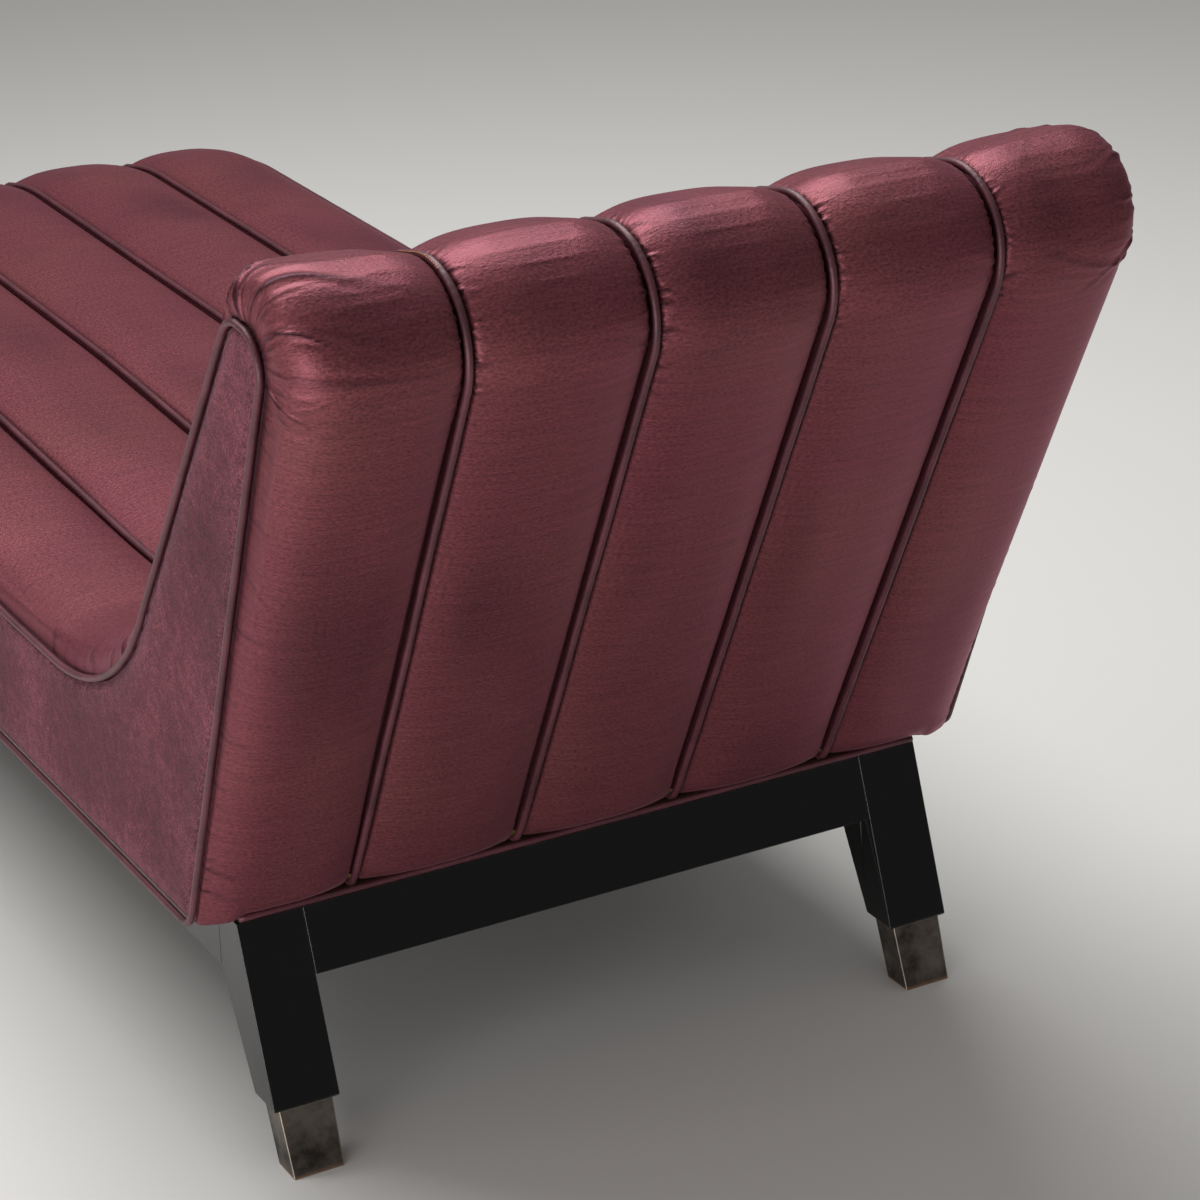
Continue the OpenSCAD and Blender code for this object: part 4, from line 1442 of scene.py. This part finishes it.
    def _fold(self, piece: bpy.types.Object, sheet: np.ndarray, number: int) -> None:
        """Presses the pleats into the cloth and marks the painted shade in its creases and by its seams.

        Args:
            piece: The cloth.
            sheet: Its stations by shares.
            number: The channel's number, which sets where its folds fall.
        """
        rows, columns, _ = sheet.shape
        from_left = lengths_along(sheet, axis=1)
        from_right = from_left[:, -1:] - from_left
        nearest = np.minimum(from_left, from_right)
        height = self._pleated(number, from_left, from_right)
        height *= np.clip(nearest / self.sewn_w, 0, 1)
        places = sheet / [self.wave_across, self.wave_along, self.wave_along] + [0, 0, number]
        waves = self.wave_h * unevenness(places.reshape(-1, 3)).reshape(rows, columns)
        height += waves * np.clip(nearest / self.wave_fade, 0, 1)
        normals = np.empty(rows * columns * 3, dtype=np.float32)
        piece.data.vertices.foreach_get("normal", normals)
        put_coordinates(piece, coordinates(piece) + normals.reshape(-1, 3) * height.reshape(-1, 1) * MM)
        # Painted shade: darker along both seams and in the pleats' creases, which the satin reads as crease.
        groove = np.exp(-nearest / self.crease_w)
        crease = np.clip(-height / self.crease_h, 0, 1) + groove
        set_value(piece, "crease", np.clip(crease, 0, 1).ravel())

    def _behind(self, outer: bool, left: float, right: float, drop: np.ndarray) -> list[np.ndarray]:
        """Rows of points behind a channel's cloth, from its right edge round to its left edge.

        Args:
            outer: True for an outer channel.
            left: Place across of the stuffing's left side.
            right: Place across of its right side.
            drop: How far each station of an outer channel's hem is let down.

        Returns:
            Four rows of points, one point a station.
        """
        profile = self.profile
        deep = profile.seam - self.pad_t * profile.seam_out
        for end, inside in ((0, 1), (-1, -2)):
            deep[end] = profile.at_height(deep[end], deep[inside], self.hem_z)
            deep[end] += self.hem_cover * profile.seam_out[end]
        tuck = self.tuck_share * self.hem_dip * self._hem()[:, None]
        groove = profile.inner - (self.groove_low + tuck) * profile.inner_out
        beside = groove
        if outer:
            beside = profile.seam - (self.welt_r + self.side_tuck * tuck) * profile.seam_out
            beside[:, 1] -= drop
        places = ((right, beside), (right, deep), (left, deep), (left, groove))
        return [self._row(x, points) for x, points in places]

    def _close(self, piece: bpy.types.Object, columns: int, ring: Sequence[np.ndarray]) -> None:
        """Closes the cloth over its stuffing with side walls, a flat back and two ends.

        Args:
            piece: The cloth.
            columns: Points in each of its rows.
            ring: Rows of points behind the cloth, from its right edge round to its left edge.
        """
        mesh = bmesh.new()
        mesh.from_mesh(piece.data)
        mesh.verts.ensure_lookup_table()
        rows = len(ring[0])
        lines = [[mesh.verts[row * columns + columns - 1] for row in range(rows)]]
        lines += [[mesh.verts.new(point * MM) for point in line] for line in ring]
        mesh.verts.ensure_lookup_table()
        lines.append([mesh.verts[row * columns] for row in range(rows)])
        for one, two in zip(lines, lines[1:]):
            for row in range(rows - 1):
                mesh.faces.new((one[row], one[row + 1], two[row + 1], two[row]))
        for row in (0, rows - 1):
            rim = [mesh.verts[row * columns + column] for column in range(columns)]
            mesh.faces.new(rim + [line[row] for line in lines[1:-1]])
        bmesh.ops.recalc_face_normals(mesh, faces=mesh.faces)
        mesh.to_mesh(piece.data)
        mesh.free()
        piece.data.shade_smooth()

    def channel(self, number: int) -> None:
        """Makes one channel: its cloth is filled, pleated and closed over the stuffing.

        Args:
            number: 1 to 5, counted from the left.
        """
        outer = number in (1, 5)
        drop = self.corner_drop * eased(1 - self._from_ends() / self.corner_fade)
        if outer:
            left, right = self.inner_x(1) + self.fit / 2, self.seam_x + self.over - self.panel_t - self.fit
            sheet = self._outer_sheet()
            sheet[:, :, 2] -= drop[:, None] * eased((sheet[:, :, 0] - self.corner_x) / self.corner_w)
        else:
            left, right = self.inner_x(number) + self.fit / 2, self.inner_x(number - 1) - self.fit / 2
            sheet = self._inner_sheet(self.inner_x(number), self.inner_x(number - 1))
        columns = sheet.shape[1]
        sheet = sheet + self._swell(sheet, self._gathered(columns))
        piece = self._sheet_object(f"channel_{number}_cloth", sheet)
        across = lengths_along(sheet, axis=1)
        write_lay(piece, across, np.broadcast_to(self.profile.along[:, None], across.shape))
        self._fold(piece, sheet, number)
        self._close(piece, columns, self._behind(outer, left, right, drop))
        if number == 5:
            piece.data.transform(Matrix.Scale(-1, 4, (1, 0, 0)))
            piece.data.flip_normals()
        fine = piece.modifiers.new("fine", "SUBSURF")
        fine.levels = fine.render_levels = 1
        dress(piece, self.satin)
        enter(piece, [f"channel_{number}"])

    def build(self) -> None:
        """Makes the five channels."""
        for number in range(1, 6):
            self.channel(number)


@dataclass(kw_only=True)
class Piping(Cover):
    """Piping in the inner seams, round the side panels and over the aprons."""

    piping: bpy.types.Material
    piping_d: float = 5.9
    piping_sides: int = 12
    lump_share: float = 0.05
    lump_fade: int = 20
    sway_mm: float = 0.8
    sway_fade: float = 60.0
    tail_len: float = 3.0
    bottom_reach: float = 2.0
    bottom_wave: float = 0.4
    bottom_steps: int = 120
    over_leg: float = 26.0

    @staticmethod
    def _flat(yz: np.ndarray) -> np.ndarray:
        """Side view directions as directions in space."""
        return np.concatenate([np.zeros((len(yz), 1)), yz], axis=1)

    def _tube(
        self, name: str, path: np.ndarray, out: np.ndarray, closed: bool, seed: int
    ) -> bpy.types.Object:
        """Makes piping along a path.

        Args:
            name: The piece's name.
            path: Centre points in millimetres, in the row frame.
            out: Unit directions away from the body, one a point.
            closed: True for a loop.
            seed: Seed of the piping's small lumps.

        Returns:
            The new piece.
        """
        sides = self.piping_sides
        count = len(path)
        ahead = np.roll(path, -1, axis=0) - np.roll(path, 1, axis=0)
        if not closed:
            ahead[0], ahead[-1] = path[1] - path[0], path[-1] - path[-2]
        ahead /= np.linalg.norm(ahead, axis=1)[:, None]
        beside = np.cross(ahead, out)
        beside /= np.linalg.norm(beside, axis=1)[:, None]
        angles = np.linspace(0, math.tau, sides, endpoint=False)
        cosines, sines = (turn(angles)[None, :, None] for turn in (np.cos, np.sin))
        lumps = unevenness((seed * 7.3, station * 0.35, 0) for station in range(count))
        fine = unevenness((seed * 3.1, station * 0.9, 4) for station in range(count))
        if closed:
            station = np.arange(count)
            fade = np.clip(np.minimum(station, count - station) / self.lump_fade, 0, 1)
            lumps, fine = lumps * fade, fine * fade
        radius = self.piping_d / 2 * (1 + self.lump_share * lumps + self.lump_share * fine)
        around = cosines * beside[:, None, :] + sines * out[:, None, :]
        rings = path[:, None, :] + radius[:, None, None] * around
        number = np.arange(count * sides).reshape(count, sides)
        after = np.roll(number, -1, axis=0) if closed else number[1:]
        now = number if closed else number[:-1]
        quads = np.stack([now, np.roll(now, -1, axis=1), np.roll(after, -1, axis=1), after], axis=-1)
        faces = quads.reshape(-1, 4).tolist()
        if not closed:
            faces += [number[0, ::-1].tolist(), number[-1].tolist()]
        piece = mesh_object(name, rings.reshape(-1, 3) * MM, faces)
        lengths = lengths_along(path)
        bias = angles[None, :] * self.welt_r + lengths[:, None]
        write_lay(piece, bias, np.broadcast_to(lengths[:, None], bias.shape))
        turn_outwards(piece)
        dress(piece, self.piping)
        return piece

    def inner_welt(self, number: int) -> None:
        """Makes the piping of an inner seam.

        Args:
            number: 1 to 4, counted from the left.
        """
        profile = self.profile
        lift = self.welt_lift - self.hem_dip * self._hem()
        line = profile.inner + lift[:, None] * profile.inner_out
        tails = []
        for end, inside in ((0, 1), (-1, -2)):
            ahead = line[end] - line[inside]
            tails.append(line[end] + self.tail_len * ahead / np.linalg.norm(ahead))
        path = self._row(self.inner_x(number), np.concatenate([[tails[0]], line, [tails[1]]]))
        sway = unevenness((number * 5.0, station * 0.03, 1) for station in range(len(path)))
        path[1:-1, 0] += self.sway_mm * sway[1:-1] * np.clip(profile.along / self.sway_fade, 0, 1)
        path[-1, 0] = path[-2, 0]
        out = np.concatenate([profile.inner_out[:1], profile.inner_out, profile.inner_out[-1:]])
        piece = self._tube(f"welt_{number}_piping", path, self._flat(out), False, number)
        enter(piece, [f"welt_{number}"])

    def side_welt(self, side: Side) -> None:
        """Makes the piping round one side panel.

        Args:
            side: The panel's side.
        """
        loop, out = self._loop()
        path = self._row(side.value * self.seam_x, loop)
        piece = self._tube(f"side_welt_{side.word}_piping", path, self._flat(out), True, 10 + side.value)
        enter(piece, [f"side_welt_{side.word}"])

    def bottom_welt(self, end: End) -> None:
        """Makes the piping between the cover and an apron, which runs on over the tops of both legs.

        Args:
            end: The apron's end.
        """
        low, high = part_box(f"bottom_welt_{end.word}")
        y = (low.y + high.y) / 2 / MM
        z = (low.z + high.z) / 2 / MM
        half = high.x / MM + self.over_leg
        count = self.bottom_steps
        x = np.linspace(half, -half, count)
        wave = unevenness((station * 0.08, end.value * 4.0, 0) for station in range(count))
        y_path = y + self.bottom_reach * end.value + self.bottom_wave * wave
        path = np.stack([x, y_path, np.full(count, z)], axis=1)
        out = np.tile([0.0, float(end.value), 0.0], (count, 1))
        piece = self._tube(f"bottom_welt_{end.word}_piping", path, out, False, 20 + end.value)
        enter(piece, [f"bottom_welt_{end.word}"])

    def build(self) -> None:
        """Makes the piping of every seam."""
        for number in range(1, 5):
            self.inner_welt(number)
        for side in Side:
            self.side_welt(side)
        for end in End:
            self.bottom_welt(end)


@dataclass(kw_only=True)
class SidePanels(Cover):
    """The flat velvet side panels, which lie over thin wadding."""

    velvet: bpy.types.Material
    panel_pitch: float = 9.0
    panel_roll: float = 2.8
    panel_roll_w: float = 7.0
    panel_sink: float = 0.4
    panel_clear: float = 0.5
    ripple_h: float = 0.7
    ripple_len: Point = (110.0, 80.0)
    ripple_fade: float = 40.0
    pucker_h: float = 0.7
    pucker_len: float = 9.0
    pucker_w: float = 14.0
    pucker_fade: float = 3.0
    pressed_w: float = 11.0

    @staticmethod
    def _depth_inside(rim: np.ndarray, point: Sequence[float]) -> float:
        """Distance of a point from an outline.

        Args:
            rim: The outline's points.
            point: The point.

        Returns:
            The distance, positive inside the outline.
        """
        p = np.array(point[:2])
        a, b = rim, np.roll(rim, -1, axis=0)
        edge = b - a
        share = np.clip(((p - a) * edge).sum(axis=1) / np.maximum((edge**2).sum(axis=1), 1e-9), 0, 1)
        distance = np.sqrt(((a + edge * share[:, None] - p) ** 2).sum(axis=1).min())
        crosses = (a[:, 1] > p[1]) != (b[:, 1] > p[1])
        reach = a[:, 0] + (p[1] - a[:, 1]) * edge[:, 0] / np.where(edge[:, 1] == 0, 1e-9, edge[:, 1])
        inside = (crosses & (p[0] < reach)).sum() % 2 == 1
        return float(distance if inside else -distance)

    @staticmethod
    def _match(points: np.ndarray, wanted: np.ndarray) -> list[int]:
        """Numbers of the points nearest to the wanted ones."""
        return [int(np.argmin(((points - w) ** 2).sum(axis=1))) for w in wanted]

    def _filled(self, rim: np.ndarray) -> tuple[np.ndarray, list[list[int]]]:
        """Fills a flat outline with triangles of an even size.

        Args:
            rim: The outline's points.

        Returns:
            The points and the triangles, which are lists of point numbers.
        """
        pitch = self.panel_pitch
        count = len(rim)
        low, high = rim.min(axis=0), rim.max(axis=0)
        columns, rows = (np.arange(low[axis] + pitch, high[axis], pitch) for axis in (0, 1))
        grid = [Vector((float(y), float(z))) for y in columns for z in rows]
        grid = [point for point in grid if self._depth_inside(rim, point) > pitch * 0.5]
        points = [Vector(point.tolist()) for point in rim] + grid
        edges = [(i, (i + 1) % count) for i in range(count)]
        flat, _, faces, _, _, _ = delaunay_2d_cdt(points, edges, [list(range(count))], 1, 1e-4)
        return np.array([tuple(point) for point in flat]), [list(face) for face in faces]

    def _panel_x(self, flat: np.ndarray, depth: np.ndarray, side: Side) -> np.ndarray:
        """Place across of a side panel's face, which ripples softly and puckers beside its piping.

        Args:
            flat: The face's points.
            depth: Distance of each from the panel's rim.
            side: The panel's side, so that the two ripple differently.

        Returns:
            A distance from the middle for each point.
        """
        roll = self.panel_roll * (1 - np.clip(depth / self.panel_roll_w, 0, 1)) ** 2
        wide, high = self.ripple_len
        ripple = unevenness((y / wide, z / high, side.value * 3.0) for y, z in flat)
        pucker = unevenness((y / self.pucker_len, z / self.pucker_len, 5.0) for y, z in flat)
        pucker = self.pucker_h * pucker * np.exp(-depth / self.pucker_w)
        x = self.seam_x + self.over - roll - self.panel_sink
        x += self.ripple_h * ripple * np.clip(depth / self.ripple_fade, 0, 1)
        x += pucker * np.clip(depth / self.pucker_fade, 0, 1)
        return np.minimum(x, self.body_w / 2 - self.panel_clear)

    def side_panel(self, side: Side) -> None:
        """Makes one side panel: velvet over thin wadding, rolled in at its piping.

        Args:
            side: The side that it closes.
        """
        loop, out = self._loop()
        rim = loop - (self.welt_r + self.fit) * out
        count = len(rim)
        flat, faces = self._filled(rim)
        depth = np.array([self._depth_inside(rim, point) for point in flat])
        x = self._panel_x(flat, depth, side)
        front = np.concatenate([x[:, None], flat + [self.profile.shift_y, 0]], axis=1)
        back = self._row(self.seam_x + self.over - self.panel_t, rim)
        size = len(front)
        number = self._match(flat, rim)
        for i in range(count):
            after = (i + 1) % count
            faces.append([number[i], size + i, size + after, number[after]])
        faces.append(list(range(size, size + count)))
        points = np.concatenate([front, back]) * MM
        points[:, 0] *= side.value
        piece = mesh_object(f"side_panel_{side.word}_velvet", points, faces)
        turn_outwards(piece)
        # Share of the paler rim beside the piping: partly pressed pile, partly painted sheen.
        pressed = np.exp(-np.clip(depth, 0, None) / self.pressed_w)
        set_value(piece, "pressed", np.concatenate([pressed, np.ones(count)]))
        dress(piece, self.velvet)
        enter(piece, [f"side_panel_{side.word}"])

    def build(self) -> None:
        """Makes both side panels."""
        for side in Side:
            self.side_panel(side)


@dataclass(kw_only=True)
class LooseStitches(Cover):
    """Ochre stitches that show beside the left piping at the shoulder."""

    thread: bpy.types.Material
    stitch_beside: float = 2.7
    stitch_lift: float = 2.1
    stitch_lead: int = 26
    stitch_r: float = 0.45

    def build(self) -> None:
        """Makes each stitch as a short piece of thread, all in one object."""
        profile = self.profile
        sides = 6
        x = self.inner_x(1) + self.stitch_beside
        line = profile.inner + (self.welt_lift + self.stitch_lift) * profile.inner_out
        first, last = profile.marks["shoulder"][1] - self.stitch_lead, profile.marks["nose"][0]
        points = []
        faces = []
        for station in range(first, last, 2):
            near = len(points)
            far = near + sides
            for y, z in line[station:station + 2]:
                for turn in (math.tau * number / sides for number in range(sides)):
                    beside, above = self.stitch_r * math.cos(turn), self.stitch_r * math.sin(turn)
                    points.append(((x + beside) * MM, (y + profile.shift_y) * MM, (z + above) * MM))
            for number in range(sides):
                after = (number + 1) % sides
                faces.append([near + number, near + after, far + after, far + number])
            faces += [list(range(far - 1, near - 1, -1)), list(range(far, far + sides))]
        piece = mesh_object("shoulder_stitches", points, faces)
        dress(piece, self.thread)
        enter(piece, [])


@dataclass(frozen=True)
class Rounding:
    """Copies a CAD node with rounded edges, and with a value that is 1 along them and 0 on broad faces."""

    bevel_mm: float
    rim_mm: float = 3.0
    broad_mm: float = 18.0
    sharp_deg: float = 25.0
    flat_deg: float = 1.0
    smooth_deg: float = 40.0
    weld_mm: float = 0.01
    many_corners: int = 8

    def copy(self, source: bpy.types.Object, name: str) -> bpy.types.Object:
        """Makes the copy.

        Args:
            source: The CAD node's object.
            name: The new piece's name.

        Returns:
            The new piece.
        """
        mesh = bmesh.new()
        mesh.from_mesh(source.data)
        bmesh.ops.remove_doubles(mesh, verts=mesh.verts, dist=self.weld_mm * MM)
        flat = math.radians(self.flat_deg)
        bmesh.ops.dissolve_limit(mesh, angle_limit=flat, verts=mesh.verts, edges=mesh.edges)
        rounded = self._round(mesh)
        self._mark(mesh, rounded)
        bmesh.ops.triangulate(mesh, faces=[f for f in mesh.faces if len(f.verts) > 4])
        piece = piece_from(mesh, name)
        piece.data.shade_smooth()
        piece.data.set_sharp_from_angle(angle=math.radians(self.smooth_deg))
        flat_faces = piece.modifiers.new("flat_faces", "WEIGHTED_NORMAL")
        flat_faces.keep_sharp = True
        return piece

    def _round(self, mesh: bmesh.types.BMesh) -> set:
        """Bevels the sharp edges that are long enough.

        Args:
            mesh: The piece's mesh.

        Returns:
            The faces of the rounded edges.
        """
        least_turn = math.radians(self.sharp_deg)
        least_length = 8 * self.bevel_mm * MM
        sharp = []
        for edge in mesh.edges:
            if len(edge.link_faces) == 2 and edge.calc_face_angle() > least_turn:
                if edge.calc_length() > least_length:
                    sharp.append(edge)
        made = bmesh.ops.bevel(mesh, geom=sharp, offset=self.bevel_mm * MM, segments=3, profile=0.6,
                               affect="EDGES", clamp_overlap=True)
        return set(made["faces"])

    def _mark(self, mesh: bmesh.types.BMesh, rounded: set) -> None:
        """Insets the broad faces and writes the edge value.

        Args:
            mesh: The piece's mesh.
            rounded: The faces of its rounded edges.
        """
        layer = mesh.verts.layers.float.new("edge")
        for vert in mesh.verts:
            vert[layer] = 1.0
        broad = [f for f in mesh.faces if f not in rounded and len(f.verts) <= self.many_corners
                 and f.calc_area() > (self.broad_mm * MM) ** 2]
        for face in broad:
            rim = set(face.verts)
            bmesh.ops.inset_individual(mesh, faces=[face], thickness=self.rim_mm * MM, use_even_offset=True)
            for vert in face.verts:
                if vert not in rim:
                    vert[layer] = 0.0
        for face in mesh.faces:
            if face not in rounded and len(face.verts) > self.many_corners:
                for vert in face.verts:
                    vert[layer] = 0.0


@dataclass
class Base:
    """The lacquered base and its sabots, with worn edges."""

    lacquer: bpy.types.Material
    metal: bpy.types.Material
    nodes: dict
    wood_edge: Rounding = Rounding(bevel_mm=0.6, rim_mm=2.0)
    sabot_edge: Rounding = Rounding(bevel_mm=0.8, rim_mm=1.2)

    def build(self) -> None:
        """Makes the legs, rails, aprons and sabots."""
        corners = [f"{end.word}_{side.word}" for end in End for side in Side]
        woods = [f"leg_{corner}" for corner in corners]
        woods += [f"apron_{end.word}" for end in End] + [f"side_rail_{side.word}" for side in Side]
        for node in woods:
            piece = self.wood_edge.copy(self.nodes[node], node + "_lacquered")
            dress(piece, self.lacquer)
            enter(piece, [node])
        for corner in corners:
            node = "sabot_" + corner
            piece = self.sabot_edge.copy(self.nodes[node], node + "_plated")
            dress(piece, self.metal)
            enter(piece, [node])


@dataclass
class Stuffing:
    """The foam pieces under the cover, and the cambric that closes the underside."""

    nodes: dict
    foam: bpy.types.Material
    cambric: bpy.types.Material
    foam_edge: Rounding = Rounding(bevel_mm=4.0, rim_mm=6.0, broad_mm=60.0)
    sag_mm: float = 2.5
    cut_mm: float = 30.0

    def build(self) -> None:
        """Makes each foam piece with the soft edges of cut foam, and the dust cover."""
        for node in ("seat_foam", "back_foam", "shoulder_roll"):
            piece = self.foam_edge.copy(self.nodes[node], node + "_latex")
            dress(piece, self.foam)
            enter(piece, [node])
        self.dust_cover()

    def dust_cover(self) -> None:
        """Makes the dust cover, which sags a little between the base's rails."""
        source = self.nodes["dust_cover"]
        mesh = bmesh.new()
        mesh.from_mesh(source.data)
        low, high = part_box("dust_cover")
        for axis in (0, 1):
            across = Vector((1, 0, 0)) if axis == 0 else Vector((0, 1, 0))
            for place in np.arange(low[axis] + self.cut_mm * MM, high[axis], self.cut_mm * MM):
                everything = list(mesh.verts) + list(mesh.edges) + list(mesh.faces)
                bmesh.ops.bisect_plane(mesh, geom=everything, plane_co=across * float(place), plane_no=across)
        bays = self._bays()
        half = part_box("side_rail_left")[0].x
        for vert in mesh.verts:
            middle = max(0.0, 1 - (vert.co.x / half) ** 2)
            for begin, end in bays:
                share = (vert.co.y - begin) / (end - begin)
                if 0 < share < 1:
                    vert.co.z -= self.sag_mm * MM * middle * math.sin(math.pi * share)
        piece = piece_from(mesh, "dust_cover_cambric")
        dress(piece, self.cambric)
        enter(piece, ["dust_cover"])

    def _bays(self) -> list[Point]:
        """Finds the open bays between the aprons and the cross rails.

        Returns:
            First and last y of each bay, in metres.
        """
        edges = [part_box("apron_front")[1].y]
        for node in ("cross_rail_front", "cross_rail_rear"):
            low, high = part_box(node)
            edges += [low.y, high.y]
        edges.append(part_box("apron_rear")[0].y)
        return list(zip(edges[::2], edges[1::2]))


@dataclass
class HiddenParts:
    """Frame, suspension and fasteners, which stay as the CAD has them."""

    nodes: dict
    slots: dict
    materials: dict

    def build(self) -> None:
        """Gives each CAD node the finish of its material slot, where the slot has one."""
        for name, piece in self.nodes.items():
            material = self.materials.get(self.slots.get(name))
            if material:
                dress(piece, material)
                LOG.info("%s: %s", name, material.name)


def inner_materials() -> dict:
    """Makes the materials of the parts inside.

    Returns:
        The materials by slot.
    """
    finishes = {
        "beech": TimberFinish("planed_beech", "#cfae7e", "#b08a58"),
        "plywood": TimberFinish("sanded_birch_plywood", "#cbb083", "#a58253", plies=True),
        "fibreboard": TimberFinish("pressed_hardboard", "#8a6f52", "#6c543b", grain_mm=1.2, along=(1, 1, 1)),
        "foam": FoamFinish("aged_latex_foam"),
        "webbing": PlainWeaveFinish("rubberised_webbing", "#2f2b28", "#5a4c3c", thread_mm=2.0),
        "zinc": ZincFinish("zinc_plated_steel"),
        "dust_cloth": PlainWeaveFinish("black_cambric", "#17171a", "#2b2b2f", thread_mm=0.8),
    }
    return {slot: finish.build() for slot, finish in finishes.items()}


@dataclass
class Studio:
    """Floor, light and the photograph's camera."""

    shift_y: float
    azimuth: float = 150.6015
    elevation: float = 22.6252
    roll: float = -0.9996
    eye: tuple[float, float, float] = (1221.74, 2188.61, 1445.90)
    calibration_shift: float = 5.0
    focal_px: float = 3391.84
    picture_px: float = 1200.0
    sensor_mm: float = 36.0
    wall_level: float = 0.12
    sky_level: float = 0.38
    floor_m: float = 60.0
    far_m: float = 100.0

    def camera(self) -> None:
        """Places the camera as solved from the photograph."""
        a, b, c = (math.radians(v) for v in (self.azimuth, self.elevation, self.roll))
        right = Vector((math.cos(a), math.sin(a), 0))
        back = Vector((math.sin(a) * math.cos(b), -math.cos(a) * math.cos(b), math.sin(b)))
        up = back.cross(right)
        turned_right = right * math.cos(c) + up * math.sin(c)
        turned_up = up * math.cos(c) - right * math.sin(c)
        eye = Vector(self.eye) + Vector((0, self.calibration_shift + self.shift_y, 0))
        data = bpy.data.cameras.new("photo_camera")
        data.sensor_width = self.sensor_mm
        data.lens = self.focal_px / self.picture_px * self.sensor_mm
        data.clip_end = self.far_m
        camera = link_object("photo_camera", data)
        camera.matrix_world = placement(turned_right, turned_up, back, eye * MM)
        bpy.context.scene.camera = camera

    def floor(self) -> None:
        """Makes a wide plain floor."""
        half = self.floor_m / 2
        corners = [(-half, -half, 0), (half, -half, 0), (half, half, 0), (-half, half, 0)]
        piece = mesh_object("studio_floor", corners, [(0, 1, 2, 3)], smooth=False)
        dress(piece, FloorFinish("pale_floor").build())

    @staticmethod
    def _area(name: str, place: Vector, aim: Vector, size: Point, power: float) -> None:
        """Adds one oblong soft light, whose first side lies along the chaise's width as far as it can.

        Args:
            name: The light's name.
            place: Its middle, in metres.
            aim: The point that it faces.
            size: Lengths of its sides in metres.
            power: Power in watts.
        """
        data = bpy.data.lights.new(name, "AREA")
        data.shape = "RECTANGLE"
        data.size, data.size_y = size
        data.energy = power
        back = (place - aim).normalized()
        beside = (Vector((1, 0, 0)) - back * back.x).normalized()
        link_object(name, data).matrix_world = placement(beside, back.cross(beside), back, place)

    def light(self) -> None:
        """Lights the scene with a surround that is paler above and three soft lights."""
        world = bpy.data.worlds.new("studio_surround")
        world.use_nodes = True
        add = partial(add_node, world.node_tree)
        height = add("SeparateXYZ", add("TexCoord", out="Generated"), out="Z")
        level = add("MapRange", height, -0.1, 0.9, self.wall_level, self.sky_level)
        sky = world.node_tree.nodes["Background"]
        feed(world.node_tree, sky.inputs["Strength"], level)
        feed(world.node_tree, sky.inputs["Color"], linear("#f6f5f4"))
        bpy.context.scene.world = world
        aim = Vector((0, 0.4, 0.55))
        low_aim = Vector((0.1, 0.75, 0.45))
        self._area("top_softbox", place=Vector((0.3, -0.7, 3.0)), aim=aim, size=(3.6, 0.5), power=110)
        self._area("low_fill", place=Vector((2.0, 2.2, 0.35)), aim=low_aim, size=(1.6, 0.5), power=27)
        self._area("side_fill", place=Vector((3.4, 0.4, 1.0)), aim=aim, size=(1.4, 2.0), power=11)

    def build(self) -> None:
        """Makes the whole studio."""
        self.camera()
        self.floor()
        self.light()
        bpy.context.scene.view_settings.view_transform = "Standard"


def main() -> None:
    """Builds the studio and every piece."""
    logging.basicConfig(level=logging.INFO, format="%(name)s: %(message)s")
    profile = SideProfile()
    Studio(profile.shift_y).build()
    Channels(profile=profile, satin=SatinFinish("plum_slub_satin").build()).build()
    Piping(profile=profile, piping=PipingFinish("bias_cut_satin_piping").build()).build()
    SidePanels(profile=profile, velvet=VelvetFinish("plum_side_velvet").build()).build()
    LooseStitches(profile=profile, thread=ThreadFinish("ochre_sewing_thread").build()).build()
    nodes = frame["nodes"]
    Base(
        lacquer=LacquerFinish("black_gloss_lacquer").build(),
        metal=SabotFinish("patinated_plated_brass").build(),
        nodes=nodes,
    ).build()
    inside = inner_materials()
    Stuffing(nodes, inside["foam"], inside["dust_cloth"]).build()
    slots = {entry["node"]: entry["material_slot"] for entry in frame["record"]["subparts"]}
    HiddenParts(nodes, slots, inside).build()


if __name__ == "__main__":
    main()
